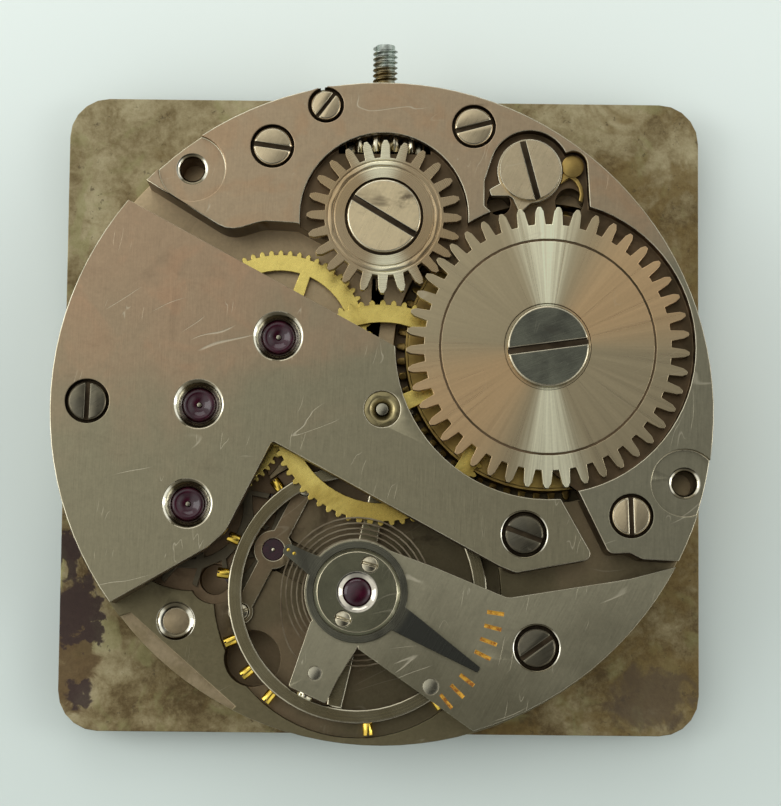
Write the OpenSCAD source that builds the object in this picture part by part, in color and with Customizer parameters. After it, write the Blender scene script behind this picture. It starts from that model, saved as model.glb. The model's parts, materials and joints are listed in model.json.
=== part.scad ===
// Hand-wound watch movement with small seconds and a straight-line lever escapement.
// The origin is on the axis of the hands, in the plane of the dial's front face.
// +Z points from the dial to the bridges and +Y points out along the winding stem.

/* [Plate, dial and bridges] */
// Diameter of the main plate
plate_d = 23.7; // [23.5:0.1:29]
// Thickness of the main plate
plate_t = 1.8; // [1.7:0.05:2.2]
// Side of the square dial
dial_w = 23.3; // [19:0.1:29]
// Thickness of the dial
dial_t = 0.4; // [0.2:0.05:0.5]
// Distance of the dial's middle from the axis of the hands, towards the stem
dial_shift = 0.17; // [0:0.01:0.3]
// Corner radius of the dial
dial_corner_r = 1.45; // [0.5:0.05:3]
// Free height between the plate and the bridges
train_space = 1.1; // [1.1:0.05:1.4]
// Thickness of the bridges and the cock
bridge_t = 0.9; // [0.85:0.05:1.1]
// Step in from the edge of the plate to the edge of the bridges
bridge_step = 0.14; // [0.05:0.01:0.25]
// Width of the gap between the train bridge and the circle of the ratchet wheel
bridge_arc_gap = 0.39; // [0.3:0.01:0.5]

/* [Places of the arbors] */
// Barrel, from the axis of the hands
barrel_pos = [5.85, 2.29]; // [-10:0.01:10]
// Third wheel
third_pos = [-3.7, 2.55]; // [-10:0.01:10]
// Fourth wheel, which carries the seconds hand
fourth_pos = [-6.47, 0.11]; // [-10:0.01:10]
// Escape wheel
escape_pos = [-6.81, -3.4]; // [-10:0.01:10]
// Balance
balance_pos = [-0.81, -6.45]; // [-10:0.01:10]
// Crown wheel
crown_pos = [0, 6.89]; // [-1:0.01:8]
// Click
click_pos = [5.18, 8.6]; // [-10:0.01:10]

/* [Teeth] */
// Teeth of the barrel
barrel_teeth = 60; // [48:1:72]
// Leaves of the centre pinion
centre_leaves = 12; // [10:1:14]
// Teeth of the centre wheel
centre_teeth = 64; // [60:1:80]
// Leaves of the third pinion
third_leaves = 8; // [7:1:10]
// Teeth of the third wheel
third_teeth = 60; // [56:1:75]
// Leaves of the fourth pinion
fourth_leaves = 8; // [7:1:10]
// Teeth of the fourth wheel
fourth_teeth = 70; // [60:1:80]
// Leaves of the escape pinion
escape_leaves = 7; // [6:1:8]
// Teeth of the escape wheel
escape_teeth = 15; // [15:1:15]
// Teeth of the ratchet wheel
ratchet_teeth = 45; // [40:1:50]
// Teeth of the crown wheel
crown_teeth = 24; // [20:1:28]
// Teeth of the winding pinion
winding_teeth = 13; // [12:1:14]
// Leaves of the cannon pinion
cannon_leaves = 12; // [10:1:12]
// Teeth of the minute wheel
minute_teeth = 36; // [30:1:36]
// Leaves of the minute pinion
minute_leaves = 10; // [8:1:10]
// Teeth of the hour wheel
hour_teeth = 40; // [32:1:40]
// Teeth of the setting wheel
setting_teeth = 30; // [26:1:30]

/* [Winding and setting] */
// Radius of the stem where it turns in the plate
stem_r = 0.62; // [0.5:0.02:0.75]
// Radius of the stem's thread, which takes the crown
stem_thread_r = 0.45; // [0.35:0.01:0.54]
// Length of the stem's thread
stem_thread_len = 1.55; // [1.2:0.05:2.5]
// Side of the stem's square
stem_square = 0.62; // [0.5:0.02:0.7]
// Travel of the stem from winding to setting
stem_pull = 0.8; // [0.6:0.05:0.9]
// Travel of the sliding pinion from winding to setting
slide_travel = 0.65; // [0.5:0.05:0.7]
// Radius of the sliding pinion
sliding_r = 1; // [0.95:0.01:1.02]
// Thickness of the ratchet wheel
ratchet_t = 0.44; // [0.3:0.02:0.5]
// Thickness of the crown wheel
crown_t = 0.46; // [0.3:0.02:0.5]

/* [Going train] */
// Thickness of the train wheels
wheel_t = 0.16; // [0.1:0.01:0.18]
// Radius of the train's upper and lower pivots
pivot_r = 0.08; // [0.06:0.01:0.1]
// Radius of the seconds pivot below the dial
seconds_r = 0.11; // [0.09:0.01:0.14]
// Radius of the cannon pinion's tube
cannon_r = 0.5; // [0.4:0.01:0.55]
// Radius of the hour wheel's pipe
hour_pipe_r = 0.74; // [0.62:0.01:0.9]
// Reach of the cannon pinion below the dial
cannon_reach = 1; // [0.8:0.05:1.6]
// Length of the seat for a hand
hand_seat = 0.4; // [0.3:0.05:0.5]
// Radius of the upper jewels of the train
train_jewel_r = 0.6; // [0.45:0.01:0.7]
// Thickness of a jewel
jewel_t = 0.3; // [0.25:0.01:0.35]

/* [Balance] */
// Outer radius of the balance rim
rim_r = 4.62; // [3.8:0.01:4.7]
// Width of the balance rim
rim_w = 0.49; // [0.35:0.01:0.6]
// Height of the balance rim
rim_h = 0.37; // [0.25:0.01:0.4]
// Radius of a balance screw's head
rim_screw_r = 0.19; // [0.12:0.01:0.2]
// Length of a balance screw's head
rim_screw_head = 0.42; // [0.3:0.01:0.44]
// Turns of the hairspring
hairspring_turns = 4.55; // [3:0.05:4.6]
// Thickness of the hairspring's strip
hairspring_t = 0.045; // [0.03:0.005:0.06]
// Radius of the hairspring at the curb pins
hairspring_r = 2.7; // [2.65:0.01:2.75]
// Turns of the mainspring
mainspring_turns = 6; // [4:0.5:6]
// Thickness of the mainspring's strip
mainspring_t = 0.12; // [0.08:0.01:0.14]

/* [Screws and clearances] */
// Radius of a bridge screw's head
bridge_screw_r = 0.68; // [0.55:0.01:0.72]
// Radius of a small screw's head
small_screw_r = 0.28; // [0.22:0.01:0.32]
// Radius of the threaded holes for the case screws
case_hole_r = 0.42; // [0.3:0.01:0.5]
// Radial running clearance of every pivot, bore and slide
run_gap = 0.02; // [0.01:0.005:0.03]
// Clearance between a moving piece and the walls round it
free_gap = 0.1; // [0.06:0.01:0.12]

/* [Hidden] */
$fn = 72;
eps = 0.01;

// Levels from the dial to the bridges
plate_z = dial_t;
plate_top = plate_z + plate_t;
bridge_z = plate_top + train_space;
bridge_top = bridge_z + bridge_t;
recess_z = bridge_top - 0.58;
plate_r = plate_d / 2;
bridge_r = plate_r - bridge_step;
stem_z = plate_top;
barrel_floor_z = plate_top - 1.05;
pinion_floor_z = plate_top - 1.02;
escape_floor_z = plate_top - 0.78;
balance_floor_z = plate_top - 0.35;
fourth_floor_z = plate_top - 0.25;
escape_wheel_z = plate_top - 0.68;
fourth_wheel_z = plate_top - 0.18;
third_wheel_z = plate_top + 0.2;
centre_wheel_z = plate_top + 0.54;
rim_z = plate_top + 0.05;
arm_z = rim_z + 0.15;
arm_t = 0.15;
spring_z = centre_wheel_z + wheel_t + 0.08;
spring_h = 0.16;

// Levels on the dial side
hour_z = plate_z + 0.06;
minute_z = plate_z + 0.34;
motion_ceiling_z = minute_z + wheel_t + 0.05;
hour_ceiling_z = hour_z + wheel_t + 0.06;
keyless_ceiling_z = plate_top - 0.65;
lever_z = keyless_ceiling_z - 0.4;
lever_t = 0.3;
jumper_z = lever_z - 0.37;
jumper_t = 0.3;

// Places that follow from the others
escape_line = balance_pos - escape_pos;
line_angle = atan2(escape_line[1], escape_line[0]);
escape_r = 2.88;
pallet_pos = escape_pos + toward(line_angle, escape_r / cos(30));
minute_dist = 2.4;
setting_dir = 97.4;
minute_pos = toward(setting_dir, minute_dist);
cannon_pitch = pitch_r(minute_dist, cannon_leaves, minute_teeth);
minute_pitch = minute_dist - cannon_pitch;
setting_pitch = minute_pitch * setting_teeth / minute_teeth;
setting_pos = toward(setting_dir, minute_dist + minute_pitch + setting_pitch);
hour_pitch = pitch_r(minute_dist, hour_teeth, minute_leaves);
minute_pinion_pitch = minute_dist - hour_pitch;

// Pitch radii, shared out by the numbers of teeth
barrel_dist = norm(barrel_pos);
barrel_pitch = pitch_r(barrel_dist, barrel_teeth, centre_leaves);
centre_pinion_pitch = barrel_dist - barrel_pitch;
third_dist = norm(third_pos);
centre_pitch = pitch_r(third_dist, centre_teeth, third_leaves);
third_pinion_pitch = third_dist - centre_pitch;
fourth_dist = norm(fourth_pos - third_pos);
third_pitch = pitch_r(fourth_dist, third_teeth, fourth_leaves);
fourth_pinion_pitch = fourth_dist - third_pitch;
escape_dist = norm(escape_pos - fourth_pos);
fourth_pitch = pitch_r(escape_dist, fourth_teeth, escape_leaves);
escape_pinion_pitch = escape_dist - fourth_pitch;
winding_dist = norm(crown_pos - barrel_pos);
ratchet_pitch = pitch_r(winding_dist, ratchet_teeth, crown_teeth);
crown_pitch = winding_dist - ratchet_pitch;
winding_module = 2 * crown_pitch / crown_teeth;
winding_pitch = winding_teeth * winding_module / 2;

// Addendum and dedendum of the wheels
train_add = 0.07;
train_ded = 0.1;
barrel_add = 0.11;
barrel_ded = 0.2;
winding_add = 0.165;
winding_ded = 0.47;
barrel_tip = barrel_pitch + barrel_add;
ratchet_tip = ratchet_pitch + winding_add;
ratchet_root = ratchet_pitch - winding_ded;
crown_tip = crown_pitch + winding_add;
crown_root = crown_pitch - winding_ded;
winding_tip = winding_pitch + 0.145;
winding_root = winding_pitch - 0.22;
centre_tip = centre_pitch + train_add;
third_tip = third_pitch + train_add;
fourth_tip = fourth_pitch + train_add;

// Pockets round the moving pieces
barrel_pocket_r = barrel_tip + free_gap;
ratchet_recess_r = ratchet_tip + 0.2;
crown_recess_r = crown_tip + 0.24;
train_arc_r = ratchet_tip + bridge_arc_gap;
balance_reach = rim_r + rim_screw_head;
balance_pocket_r = balance_reach + free_gap;
third_well_r = third_tip + 0.4;
centre_well_r = centre_tip + 0.2;
fourth_well_r = fourth_tip + 0.14;
barrel_well_r = barrel_tip + 0.16;
escape_well_r = escape_r + 0.12;

// Bridge screws: place and angle of the slot
barrel_screws = [[[-4, 9.36], -8], [[3.17, 10.15], 15], [[8.8, -3.68], 92]];
train_screws = [[[-10.4, 0.18], 88], [[5.04, -4.36], -20]];
cock_screws = [[[5.49, -8.33], 36]];
screw_head_h = 0.36;
screw_seat_z = bridge_top - screw_head_h;
screw_ring = 0.1;
bridge_shank_r = 0.3;
bridge_screw_len = 2.6;
slot_depth = 0.14;

// Case screws hold the movement through these holes near the rim
case_holes = [[-6.85, 8.55], [10.7, -2.5]];
case_recess_r = 1.2;
case_recess_depth = 0.25;

// Winding gear along the stem
winding_y0 = 9.3;
winding_y1 = 10.05;
sliding_y0 = 7.9;
sliding_y1 = winding_y0 - 0.1;
groove_y = 8.575;
groove_w = 0.42;
groove_r = 0.62;
stem_groove_y = 10.47;
stem_groove_r = 0.38;
stud_pin_r = 0.2;
pilot_r = 0.28;
pilot_y0 = 5.6;
pilot_hole = [5.95, 6.65];
square_y0 = 6.95;
stem_seat_r = 0.5;

// Keyless work on the dial side
lever_pos = [-2.11, 10.87];
lever_pin_r = 0.25;
yoke_pos = [-3.6, 8.2];
post_r = 0.2;
setting_post_r = 0.25;
jumper_screw_pos = [-4, 9.6];
jumper_boss_r = 0.35;

// Dial feet and the screws that clamp them
dial_feet = [[-7.29, -7.5], [6.2, 8.7]];
foot_r = 0.5;
foot_hole_r = 0.67;
foot_top_z = plate_top - 0.25;
foot_screw_r = 0.28;
foot_screw_z = plate_z + 0.85;

// Barrel
drum_z = barrel_floor_z + 0.07;
drum_top = plate_top + 0.4;
drum_wall = 0.2;
drum_floor = 0.22;
cover_t = 0.15;
drum_r = barrel_pitch - barrel_ded;
core_r = 1.3;
arbor_low_r = 0.6;
arbor_top_r = 0.85;
arbor_square = 1.1;

// Balance and its cock
balance_angle = 79;
head_r = 1.85;
end_piece_r = 1.52;
end_piece_t = 0.3;
regulator_t = 0.15;
regulator_ring_r = end_piece_r + run_gap;
regulator_dir = -32;
curb_dir = 149;
stud_dir = 243;
stud_dist = 3.18;
stud_r = 0.24;
stud_pos = balance_pos + toward(stud_dir, stud_dist);
lug_dir = 246;
lug_depth = 0.8;
end_screw_dirs = [66, 243];
end_screw_dist = 1.06;
cap_r = 0.51;
staff_pivot_r = 0.06;
staff_r = 0.22;
roller_z = plate_top - 0.37;
roller_r = 0.7;
roller_pin_r = 0.09;
roller_pin_dist = 0.58;
impulse_dir = line_angle + 180;

// Pallets
stone_angle = 30;
fork_t = 0.18;
pallet_jewel_r = 0.4;
pallet_foot_dist = 2.5;
pallet_feet = [pallet_pos + toward(line_angle + 90, pallet_foot_dist),
    pallet_pos + toward(line_angle - 90, pallet_foot_dist)];

// Direction of an angle, as a vector of the given length
function toward(a, d) = d * [cos(a), sin(a)];

// Share of a centre distance that belongs to the wheel with n teeth
function pitch_r(dist, n, mate) = dist * n / (n + mate);

// Angle of the line from one point to another
function heading(p, q) = atan2(q[1] - p[1], q[0] - p[0]);

// Angle of a tooth of wheel b that meshes with wheel a, whose own tooth is at phase_a
function mesh_phase(pa, pb, na, phase_a, nb) =
    heading(pa, pb) + 180 + 180 / nb - (phase_a - heading(pa, pb)) * na / nb;

// Outline of a toothed wheel: each tooth tapers from root to pitch circle to tip
function teeth(n, root, pitch, tip, fills, phase = 0) =
    [for (i = [0 : n - 1]) for (k = [0 : 5])
        let (side = k < 3 ? -1 : 1, level = k < 3 ? k : 5 - k,
            a = phase + 360 / n * (i + side * fills[level] / 2))
        [root, pitch, tip][level] * [cos(a), sin(a)]];

// Outline of a pinion, with leaves that are rounder than a wheel's teeth
function leaves(n, pitch, phase = 0) =
    teeth(n, pitch * (1 - 2.1 / n), pitch, pitch * (1 + 1.25 / n), [0.36, 0.4, 0.16], phase);

// Twice the area inside an outline, positive if it runs counter-clockwise
function signed_area(pts) = [for (i = [0 : len(pts) - 1])
    cross(pts[i], pts[(i + 1) % len(pts)])] * [for (p = pts) 1];

// The same outline, always counter-clockwise, so that outlines join cleanly
function ccw(pts) = signed_area(pts) > 0 ? pts
    : [for (i = [len(pts) - 1 : -1 : 0]) pts[i]];

// Polygon with its corners rounded: each point is [x, y, radius]
function rounded(pts) = ccw([for (i = [0 : len(pts) - 1])
    each corner(pts[(i + len(pts) - 1) % len(pts)], pts[i], pts[(i + 1) % len(pts)])]);

function unit(v) = v / norm(v);

function corner(a, p, b) = let (c = [p[0], p[1]], r = p[2])
    r == 0 ? [c] : let (
        u = unit([a[0], a[1]] - c), v = unit([b[0], b[1]] - c),
        half = acos(u * v) / 2, m = c + unit(u + v) * r / sin(half),
        a0 = atan2((c + u * r / tan(half) - m)[1], (c + u * r / tan(half) - m)[0]),
        a1 = atan2((c + v * r / tan(half) - m)[1], (c + v * r / tan(half) - m)[0]),
        turn = ((a1 - a0 + 540) % 360) - 180, n = max(2, ceil(abs(turn) / 18)))
    [for (k = [0 : n]) m + r * [cos(a0 + turn * k / n), sin(a0 + turn * k / n)]];

// Centre line of a spiral strip, as [angle, radius] pairs
function spiral(r0, r1, turns, end_angle, steps) = [for (k = [0 : ceil(turns * steps)])
    let (f = k / ceil(turns * steps))
    [end_angle - 360 * turns * (1 - f), r0 + (r1 - r0) * f]];

// Outline of a strip of thickness t along such a centre line
function strip(line, t) = concat(
    [for (p = line) (p[1] + t / 2) * [cos(p[0]), sin(p[0])]],
    [for (k = [len(line) - 1 : -1 : 0]) (line[k][1] - t / 2) * [cos(line[k][0]), sin(line[k][0])]]);

// Least gap between the turns of a strip, measured between its points
function least_gap(line, t, steps) = min([for (i = [0 : len(line) - 1])
    for (j = [i + steps / 2 : len(line) - 1])
    norm(toward(line[i][0], line[i][1]) - toward(line[j][0], line[j][1]))]) - t;

module at(p, z = 0) translate([p[0], p[1], z]) children();

module rod(r, z0, z1) translate([0, 0, z0]) cylinder(r = r, h = z1 - z0);

// Turned piece: a list of [radius, lower z, upper z] from the bottom up
module turned(steps) rotate_extrude() polygon(concat([[0, steps[0][1]]],
    [for (s = steps) each [[s[0], s[1]], [s[0], s[2]]]],
    [[0, steps[len(steps) - 1][2]]]));

module slab(z0, z1) translate([0, 0, z0]) linear_extrude(z1 - z0) children();

// Cylinder along +Y at the height of the stem
module along_stem(r, y0, y1)
    translate([0, y1, stem_z]) rotate([90, 0, 0]) cylinder(r = r, h = y1 - y0);

// Slotted screw whose head ends at z = 0
module screw(head_r, head_h, shank_r, len, slot_w, slot_angle) {
    edge = head_h * 0.15;
    difference() {
        rotate_extrude() polygon([[0, -len], [shank_r, -len], [shank_r, -head_h],
            [head_r, -head_h], [head_r, -edge], [head_r - edge, 0], [0, 0]]);
        rotate(slot_angle) translate([-head_r - 1, -slot_w / 2, -slot_depth])
            cube([2 * head_r + 2, slot_w, slot_depth + 1]);
    }
}

// Hole jewel with an oil cup on the side where its pivot ends
module jewel(r, hole_r, z0, cup_up = true) {
    cup = jewel_t * 0.3;
    difference() {
        rod(r, z0, z0 + jewel_t);
        rod(hole_r, z0 - 1, z0 + jewel_t + 1);
        translate([0, 0, cup_up ? z0 + jewel_t - cup : z0 - eps])
            cylinder(r1 = cup_up ? hole_r : r * 0.6, r2 = cup_up ? r * 0.6 : hole_r, h = cup + eps);
    }
}

// Spoked wheel, flat, with its teeth as an outline
module spoked(outline, rim_in, hub, bore, arms, arm_w, phase) difference() {
    polygon(outline);
    circle(r = bore);
    difference() {
        circle(r = rim_in);
        circle(r = hub);
        for (i = [0 : arms - 1]) rotate(phase + 360 * i / arms)
            polygon([[0, -arm_w * 0.65], [rim_in + 1, -arm_w * 0.4],
                [rim_in + 1, arm_w * 0.4], [0, arm_w * 0.65]]);
    }
}

// Outlines of the bridges, before their edges are cut to the round of the movement
module barrel_bridge_outline() {
    intersection() {
        circle(r = bridge_r);
        polygon(rounded([[-10.5, 9.33, 0], [-5.5, 6.28, 1], [-4.3, 6.66, 1.2], [-3.1, 6.6, 0],
            [-1.6, 5.8, 0], [0.8, 5.6, 0], [3, 4.6, 0], [barrel_pos[0], barrel_pos[1], 0],
            [5.6, -1.8, 0], [6.95, -2.85, 0.15], [8.02, -5.02, 0.3], [8.75, -4.98, 0.3],
            [9.2, -5.2, 0.3], [11.5, -5.3, 0], [14, 0, 0], [13, 13, 0], [-10, 14, 0]]));
    }
    at(barrel_pos) circle(r = ratchet_root - 0.1);
    at(crown_pos) circle(r = crown_root - 0.1);
}

module train_bridge_outline() difference() {
    intersection() {
        circle(r = bridge_r);
        polygon(rounded([[-10.5, 8.14, 0], [0.55, 2.18, 0], [3, 0.9, 0], [6, -1.5, 0],
            [6.2, -2.9, 0], [7.5, -5.2, 0.25], [4.75, -5.72, 0.3], [4.2, -5.5, 0.4],
            [-3.86, -1.16, 0.12], [-5.45, -4.35, 0.9], [-6.1, -4.95, 0.9], [-10.6, -7.55, 0],
            [-14, 0, 0]]));
    }
    at(barrel_pos) circle(r = train_arc_r);
}

module cock_outline() {
    intersection() {
        circle(r = bridge_r);
        union() {
            at(balance_pos) circle(r = head_r);
            polygon(rounded([[-0.2, -4.78, 0], [1.88, -5.54, 0.6], [4.48, -6.6, 0.5],
                [8.75, -5.89, 0.4], [12.4, -4.9, 0], [12.4, -12.5, 0], [5.1, -12.5, 0],
                [-0.76, -8.42, 0], [balance_pos[0], balance_pos[1], 0]]));
        }
    }
    at(balance_pos) polygon(rounded([[-0.9, -0.4, 0], [-1.62, -1.05, 0], [-2.36, -3.3, 0.1],
        [-1.06, -3.88, 0.1], [-0.66, -3.05, 0.3], [0.05, -1.9, 0], [0.3, -0.4, 0]]));
}

// Foot of a bridge: the part of its outline that stands clear of every moving piece
module foot_of() difference() {
    children();
    circle(r = centre_well_r);
    at(third_pos) circle(r = third_well_r);
    at(fourth_pos) circle(r = fourth_well_r);
    at(escape_pos) circle(r = escape_well_r + 0.2);
    at(barrel_pos) circle(r = barrel_well_r);
    at(balance_pos) circle(r = balance_pocket_r + 0.1);
    translate([-sliding_r - 0.2, pilot_y0 - 0.15])
        square([2 * sliding_r + 0.4, winding_y0 - pilot_y0 + 0.15]);
    translate([-winding_tip - free_gap, winding_y0 - 0.06])
        square([2 * (winding_tip + free_gap), winding_y1 - winding_y0 + 0.14]);
}

// Holes for the screws that hold a bridge
module bridge_screw_holes(screws) for (s = screws) at(s[0]) {
    rod(bridge_screw_r + screw_ring, screw_seat_z, bridge_top + 1);
    rod(bridge_shank_r, plate_top - 1, bridge_top);
}

module case_screw_hole(p) {
    at(p) rod(case_hole_r, plate_top, bridge_top + 1);
    at(p) rod(case_recess_r, bridge_top - case_recess_depth, bridge_top + 1);
}

module barrel_bridge() color("rosybrown") difference() {
    union() {
        slab(bridge_z, bridge_top) barrel_bridge_outline();
        slab(plate_top, bridge_z + eps) foot_of() barrel_bridge_outline();
    }
    at(barrel_pos) rod(ratchet_recess_r, recess_z, bridge_top + 1);
    at(barrel_pos) rod(arbor_top_r + run_gap, bridge_z - 1, bridge_top);
    at(crown_pos) rod(crown_recess_r, recess_z, bridge_top + 1);
    at(crown_pos) rod(0.3, bridge_z - 1, bridge_top);
    slab(recess_z, bridge_top + 1) click_recess_outline();
    for (w = click_windows) at(w) rod(w[2], plate_top - 1, bridge_top);
    at(click_pos) rod(0.3, bridge_z + 0.02, bridge_top);
    translate([-winding_tip - free_gap, winding_y0 - 0.06, plate_top - 1])
        cube([2 * (winding_tip + free_gap), winding_y1 - winding_y0 + 0.14,
            1 + stem_z + winding_tip + free_gap - plate_top]);
    along_stem(stem_r + run_gap, winding_y1, plate_r + 1);
    bridge_screw_holes(barrel_screws);
    for (p = case_holes) case_screw_hole(p);
    at(lever_pos) rod(0.64, screw_seat_z, bridge_top + 1);
    at(lever_pos) rod(lever_pin_r, plate_top - 1, bridge_top);
    pin_holes(barrel_pins, hidden_pin_top);
}

module train_bridge() color("rosybrown") difference() {
    union() {
        slab(bridge_z, bridge_top) train_bridge_outline();
        slab(plate_top, bridge_z + eps) foot_of() train_bridge_outline();
    }
    rod(centre_bush_r, bridge_z - 1, bridge_top + 1);
    for (p = [third_pos, fourth_pos, escape_pos]) at(p) {
        rod(train_jewel_r, bridge_z - 1, bridge_top + 1);
        translate([0, 0, upper_jewel_z + jewel_t])
            cylinder(r1 = train_jewel_r, r2 = train_jewel_r + 0.26 + eps,
                h = bridge_top - upper_jewel_z - jewel_t + eps);
    }
    bridge_screw_holes(train_screws);
    pin_holes(train_pins, hidden_pin_top);
}
upper_jewel_z = bridge_top - 0.62;
centre_bush_r = 0.64;

module balance_cock() color("rosybrown") difference() {
    union() {
        slab(bridge_z, bridge_top) cock_outline();
        slab(plate_top, bridge_z + eps) foot_of() cock_outline();
    }
    at(balance_pos) rod(cap_r, bridge_z - 1, bridge_top + 1);
    for (a = end_screw_dirs) at(balance_pos + toward(a, end_screw_dist))
        rod(small_shank_r, bridge_top - 0.3, bridge_top + 1);
    at(stud_pos) rod(stud_r, bridge_z - 1, bridge_top + 1);
    stud_screw_place() rod(small_shank_r, stud_r - lug_depth, 1);
    bridge_screw_holes(cock_screws);
    pin_holes(cock_pins, hidden_pin_top);
    at(cock_stop) rod(pin_r, bridge_z - 1, bridge_top + 1);
    scale_strokes();
}
small_shank_r = 0.14;
small_head_h = 0.16;
small_len = 0.46;

// Engraved scale beside the regulator's tail
scale_dirs = [-8, -14, -20, -26, -38, -44, -50];
module scale_strokes() at(balance_pos) for (a = scale_dirs)
    rotate(a) translate([4.62, -0.05, bridge_top - 0.04]) cube([0.58, 0.1, 1]);

// Place of the stud screw: it enters the lug from its outer end
module stud_screw_place() at(stud_pos + toward(lug_dir, lug_depth), bridge_z + 0.45)
    rotate([0, 90, lug_dir]) children();

module pallet_bridge() color("silver") difference() {
    slab(balance_floor_z, balance_floor_z + 0.27) {
        at(pallet_pos) circle(r = 0.7);
        for (p = pallet_feet) at(p) circle(r = 0.45);
        polygon(ccw([pallet_feet[0] + toward(line_angle, 0.3),
            pallet_feet[1] + toward(line_angle, 0.3),
            pallet_feet[1] - toward(line_angle, 0.3),
            pallet_feet[0] - toward(line_angle, 0.3)]));
    }
    at(pallet_pos) rod(pallet_jewel_r, balance_floor_z - 1, balance_floor_z + 1);
    for (p = pallet_feet) at(p) {
        rod(small_shank_r, balance_floor_z - 1, balance_floor_z + 1);
        rod(small_screw_r + 0.02, balance_floor_z + 0.16, balance_floor_z + 1);
    }
}

// Steady pins under the bridges, and the posts of the dial side
pin_r = 0.28;
hidden_pin_top = bridge_z - 0.2;
barrel_pins = [[-2.9, 9.9], [1.95, 10.75], [9.9, -4.0]];
train_pins = [[-10.2, -4.4], [-9.6, 4.6], [6.4, -4.6]];
cock_pins = [[8.9, -6.9], [4.3, -9.9]];
cock_stop = [1.79, -9.71];
module pin_holes(pins, z1) for (p = pins) at(p) rod(pin_r, plate_top - 0.6, z1);

module plate_pins() color("lightsteelblue") {
    for (p = concat(barrel_pins, train_pins, cock_pins))
        at(p) rod(pin_r, plate_top - 0.6, hidden_pin_top);
    at(cock_stop) turned([[pin_r, bridge_z + 0.1, bridge_top + 0.03]]);
    at(minute_pos) turned([[post_r, dial_t + 0.02, motion_ceiling_z + 0.35]]);
    at(setting_pos) turned([[setting_post_r, dial_t + 0.1, keyless_ceiling_z + 0.3]]);
    at(yoke_pos) turned([[post_r, lever_z - 0.04, keyless_ceiling_z + 0.4]]);
}

module main_plate() color("tan") difference() {
    union() {
        rod(plate_r, plate_z, plate_top);
        translate([-0.62, pilot_hole[0], plate_top - eps])
            cube([1.24, pilot_hole[1] - pilot_hole[0], 0.52]);
    }
    plate_top_pockets();
    plate_dial_pockets();
    along_stem(stem_r + run_gap, winding_y1, plate_r + 1);
    along_stem(pilot_r + run_gap, pilot_hole[0] - 1, pilot_hole[1] + 1);
    for (s = concat(barrel_screws, train_screws, cock_screws))
        at(s[0]) rod(bridge_shank_r, bridge_top - bridge_screw_len, plate_top + 1);
    for (p = dial_feet) at(p) rod(foot_hole_r, plate_z - 1, plate_top + 1);
    for (p = dial_feet) foot_screw_place(p) rod(foot_screw_r, foot_r, plate_r);
    pin_holes(concat(barrel_pins, train_pins, cock_pins), plate_top + 1);
    at(lever_pos) rod(lever_pin_r, plate_z - 1, plate_top + 1);
}

// Direction from a dial foot straight out to the rim
module foot_screw_place(p) at(p, foot_screw_z) rotate([0, 90, atan2(p[1], p[0])]) children();

// Pockets seen from the bridge side
module plate_top_pockets() {
    top = plate_top + 1;
    at(barrel_pos) rod(barrel_pocket_r, barrel_floor_z, top);
    at(barrel_pos) rod(arbor_low_r + run_gap, plate_z + 0.15, top);
    rod(centre_pinion_pitch + 0.3, pinion_floor_z, top);
    rod(lower_bush_r, motion_ceiling_z - eps, top);
    at(fourth_pos) rod(fourth_well_r, fourth_floor_z, top);
    at(fourth_pos) rod(0.45, lower_fourth_z, top);
    at(fourth_pos) rod(0.3, plate_z - 1, top);
    at(third_pos) rod(0.38, lower_third_z, top);
    at(escape_pos) rod(escape_well_r, escape_floor_z, top);
    at(escape_pos) rod(0.45, lower_escape_z, top);
    at(balance_pos) rod(balance_pocket_r, balance_floor_z, top);
    slab(escape_floor_z, top) fork_pocket_outline();
    at(pallet_pos) rod(pallet_jewel_r, lower_escape_z, top);
    for (p = pallet_feet) at(p) rod(small_shank_r, balance_floor_z - 0.35, top);
    at([-4.54, -8.8]) rod(1, plate_z + 0.15, top);
    at([-5.95, -5.97]) {
        rod(0.9, escape_floor_z, top);
        rod(0.55, plate_z + 0.15, top);
    }
    slab(plate_top - 0.25, top) polygon([[-8.9, -7.2], [-5.1, -10.5], [-9, -14], [-14, -9]]);
    translate([-sliding_r - 0.15, pilot_hole[1] + 0.05, plate_z - 1])
        cube([2 * sliding_r + 0.3, winding_y0 - pilot_hole[1], plate_t + 2]);
    translate([-winding_tip - free_gap, winding_y0 - 0.06, plate_z - 1])
        cube([2 * (winding_tip + free_gap), winding_y1 - winding_y0 + 0.14, plate_t + 2]);
}

// Pocket for the fork, from the escape wheel to the roller
module fork_pocket_outline() {
    at(balance_pos) circle(r = 1);
    at(pallet_pos) rotate(line_angle) {
        circle(r = 0.75);
        polygon([[-0.2, -0.6], [2.2, -0.62], [3.4, -0.9], [3.4, 0.9], [2.2, 0.62], [-0.2, 0.6]]);
        for (s = [-1, 1])
            polygon(ccw([[0.3, 0], [0.2, s * 1.95], [-0.3, s * 2.12], [-1, s * 2.25], [-2, 0]]));
    }
}

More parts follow.
